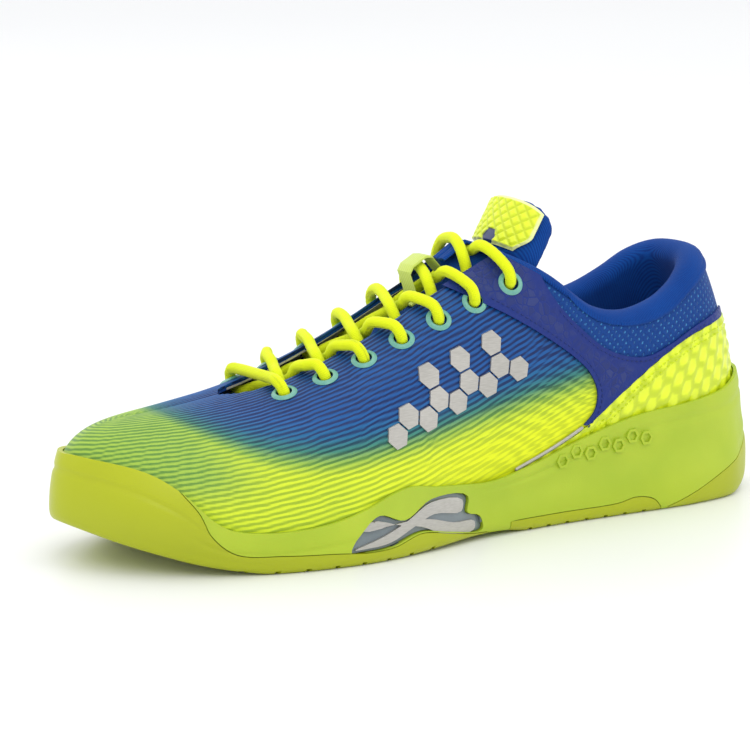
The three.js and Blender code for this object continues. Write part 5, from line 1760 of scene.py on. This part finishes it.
def lace_loop():
    """The webbing strap that keeps the lace on the tongue."""
    low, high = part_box("tongue_lace_loop")
    obj = bpy.data.objects.new("lace_loop_webbing", frame["nodes"]["tongue_lace_loop"].data.copy())
    bpy.context.scene.collection.objects.link(obj)
    shape = bmesh.new()
    shape.from_mesh(obj.data)
    bmesh.ops.remove_doubles(shape, verts=shape.verts, dist=1e-6)
    bmesh.ops.join_triangles(shape, faces=shape.faces, angle_face_threshold=0.2, angle_shape_threshold=1.5)
    bmesh.ops.recalc_face_normals(shape, faces=shape.faces)
    shape.to_mesh(obj.data)
    shape.free()
    bevel = obj.modifiers.new("round", "BEVEL")
    bevel.width, bevel.segments, bevel.limit_method = 0.3 * MM, 2, "ANGLE"
    apply_modifiers(obj)
    f = Finish("loop_webbing", Sheen_Weight=0.3)
    _, y, _ = f.parts(f.place())
    rows = (y * (2 * math.pi / 1.3)).sine() * 0.5 + 0.5
    fibre = f.noise(2.5, 3)
    material = f.surface(Base_Color=f.mix(rows * 0.5 + fibre * 0.5, colour("b9cf4a"), colour("dcea7a")),
                         Roughness=0.7 + fibre * 0.2, Normal=f.bump(rows + fibre * 0.4, 0.15, 0.7))
    return piece(obj, "yellow_panel", replaces=["tongue_lace_loop"], material=material)


# ------------------------------------------------------------------ inside


def footbed_plate(name, inset, bottom, top, crown, columns=90, across_rows=14):
    """A plate that follows the footbed, its upper side cupped towards its edge."""
    u = 0.008 + 0.984 * stations(columns)

    def rim(a):
        point = upper_plan.at(a)
        inwards = unit(form_normal(a, 0.0) * [1, 1, 0])[:, :2]
        return point - inwards * inset
    left, right = rim(u), rim(-u)
    t = np.linspace(0, 1, across_rows + 1)[None, :, None]
    plan = left[:, None] * (1 - t) + right[:, None] * t
    height = footbed(drawn(upper_plan.at(u)[:, 0]))[:, None] + 0 * t[..., 0]
    cup = crown * (np.abs(2 * t[..., 0] - 1) ** 3) - crown
    upper = np.concatenate([plan, (height + top + cup)[..., None]], -1)
    lower = np.concatenate([plan, (height + bottom)[..., None]], -1)
    obj = closed_sheet(name, upper, lower)
    tidy_quads(obj)
    return obj


def lining_inside():
    skin = layer("vamp_lining_skin", 0.0, 0.9, columns=90, rows=40)
    split = [[119, 120], [112, 90], [104, 60], [98, 0]]
    behind, collar = region_behind(split, FIT), region_above(COLLAR_LINE, 1.5)
    less(skin, collar, throat_cut, behind)
    discard(behind, collar)
    return piece(skin, "lining_fabric", replaces=["vamp_lining"])


def heel_badge():
    skin = layer("heel_badge_plate", BADGE_IN - 0.3, BADGE_OUT, columns=220, rows=60, pull=0.6)
    outline = np.array([[-9, 55.5], [-7.5, 54], [7.5, 54], [9, 55.5], [9, 62.5], [7.5, 64], [-7.5, 64], [-9, 62.5]])
    bar = prism("bar", outline, "Y", -30, 30)
    turned = points_of(bar)
    x = turned[:, 0].copy()
    turned[:, 0], turned[:, 1] = forward(0) + turned[:, 1], x
    bar.data.vertices.foreach_set("co", (turned * MM).astype(np.float32).ravel())
    tidy_quads(bar)
    within(skin, bar)
    discard(bar)
    return piece(skin, "silver_trim", replaces=["heel_badge"])


def panel_edge_line():
    """The thin silver line along the front of the heel panel."""
    for side, name in ((1, "lateral"), (-1, "medial")):
        line = [p for p in inset_line(PANEL_EDGE, 0.9) if 92 < p[0] < 140]
        points, _ = stitch_run(line, side, PANEL_OUT - 0.6, 10)
        strip = tube("panel_line_" + name, resampled(points, 80), 0.75, 10, texture=0)
        piece(strip, "silver_trim", angle=60)


# ------------------------------------------------------------------ the shoe

make_laces()
vamp_skin()
mesh_skin()
overlay(1)
overlay(-1)
heel_panel()
film(1)
film(-1)
heel_badge()
panel_edge_line()
collar = thickened(collar_padding(), 0.9, -1)
piece(collar, "lining_fabric", replaces=["collar_lining", "collar_foam"])
lining_inside()
piece(footbed_plate("insole_cupped", 1.7, FIT, 5.0, 0.9), "insole_fabric", replaces=["insole"])

SOLE_SLOTS = {"midsole": "midsole_foam", "outsole_forefoot": "outsole_rubber", "outsole_heel": "outsole_rubber",
              "outsole_crash_pad": "outsole_rubber"}
for name, obj in make_sole().items():
    if name in SOLE_SLOTS:
        piece(obj, SOLE_SLOTS[name], replaces=[name], angle=35)
    elif name == "midsole_marks":
        piece(obj, "midsole_foam", angle=35)
    elif name.startswith("shank_brace"):
        piece(obj, "silver_trim", replaces=[name], angle=35)
    else:
        piece(obj, "shank_plastic", angle=35)

tongue_base()
pad = tongue_pad()
piece(pad, "lining_fabric", "tongue_top", replaces=["tongue_top_pad"])
badge, badge_film = tongue_badge()
piece(badge, "yellow_panel", "tongue_top", replaces=["tongue_badge"], material=badge_film, angle=60)
tongue_bridge()
lace_loop()
make_eyelet_rims()
make_stitches()
discard(collar_cut, throat_cut, *drills)

for row in frame["record"]["subparts"]:
    node = frame["nodes"][row["node"]]
    if not node.hide_render:
        finish_as(node, row["material_slot"])

# ------------------------------------------------------------------ floor and surroundings


def make_floor():
    shape = bmesh.new()
    bmesh.ops.create_grid(shape, x_segments=8, y_segments=8, size=6)
    mesh = bpy.data.meshes.new("floor")
    shape.to_mesh(mesh)
    shape.free()
    floor = bpy.data.objects.new("floor", mesh)
    bpy.context.scene.collection.objects.link(floor)
    f = Finish("studio_floor", Roughness=0.4)
    soft = f.noise(0.002, 1)
    floor.data.materials.append(f.surface(Base_Color=f.mix(soft, (0.93, 0.93, 0.94), (0.96, 0.96, 0.96))))
    world = bpy.data.worlds.new("studio")
    world.use_nodes = True
    world.node_tree.nodes["Background"].inputs["Color"].default_value = (0.98, 0.99, 1.0, 1)
    world.node_tree.nodes["Background"].inputs["Strength"].default_value = 0.97
    bpy.context.scene.world = world


make_floor()
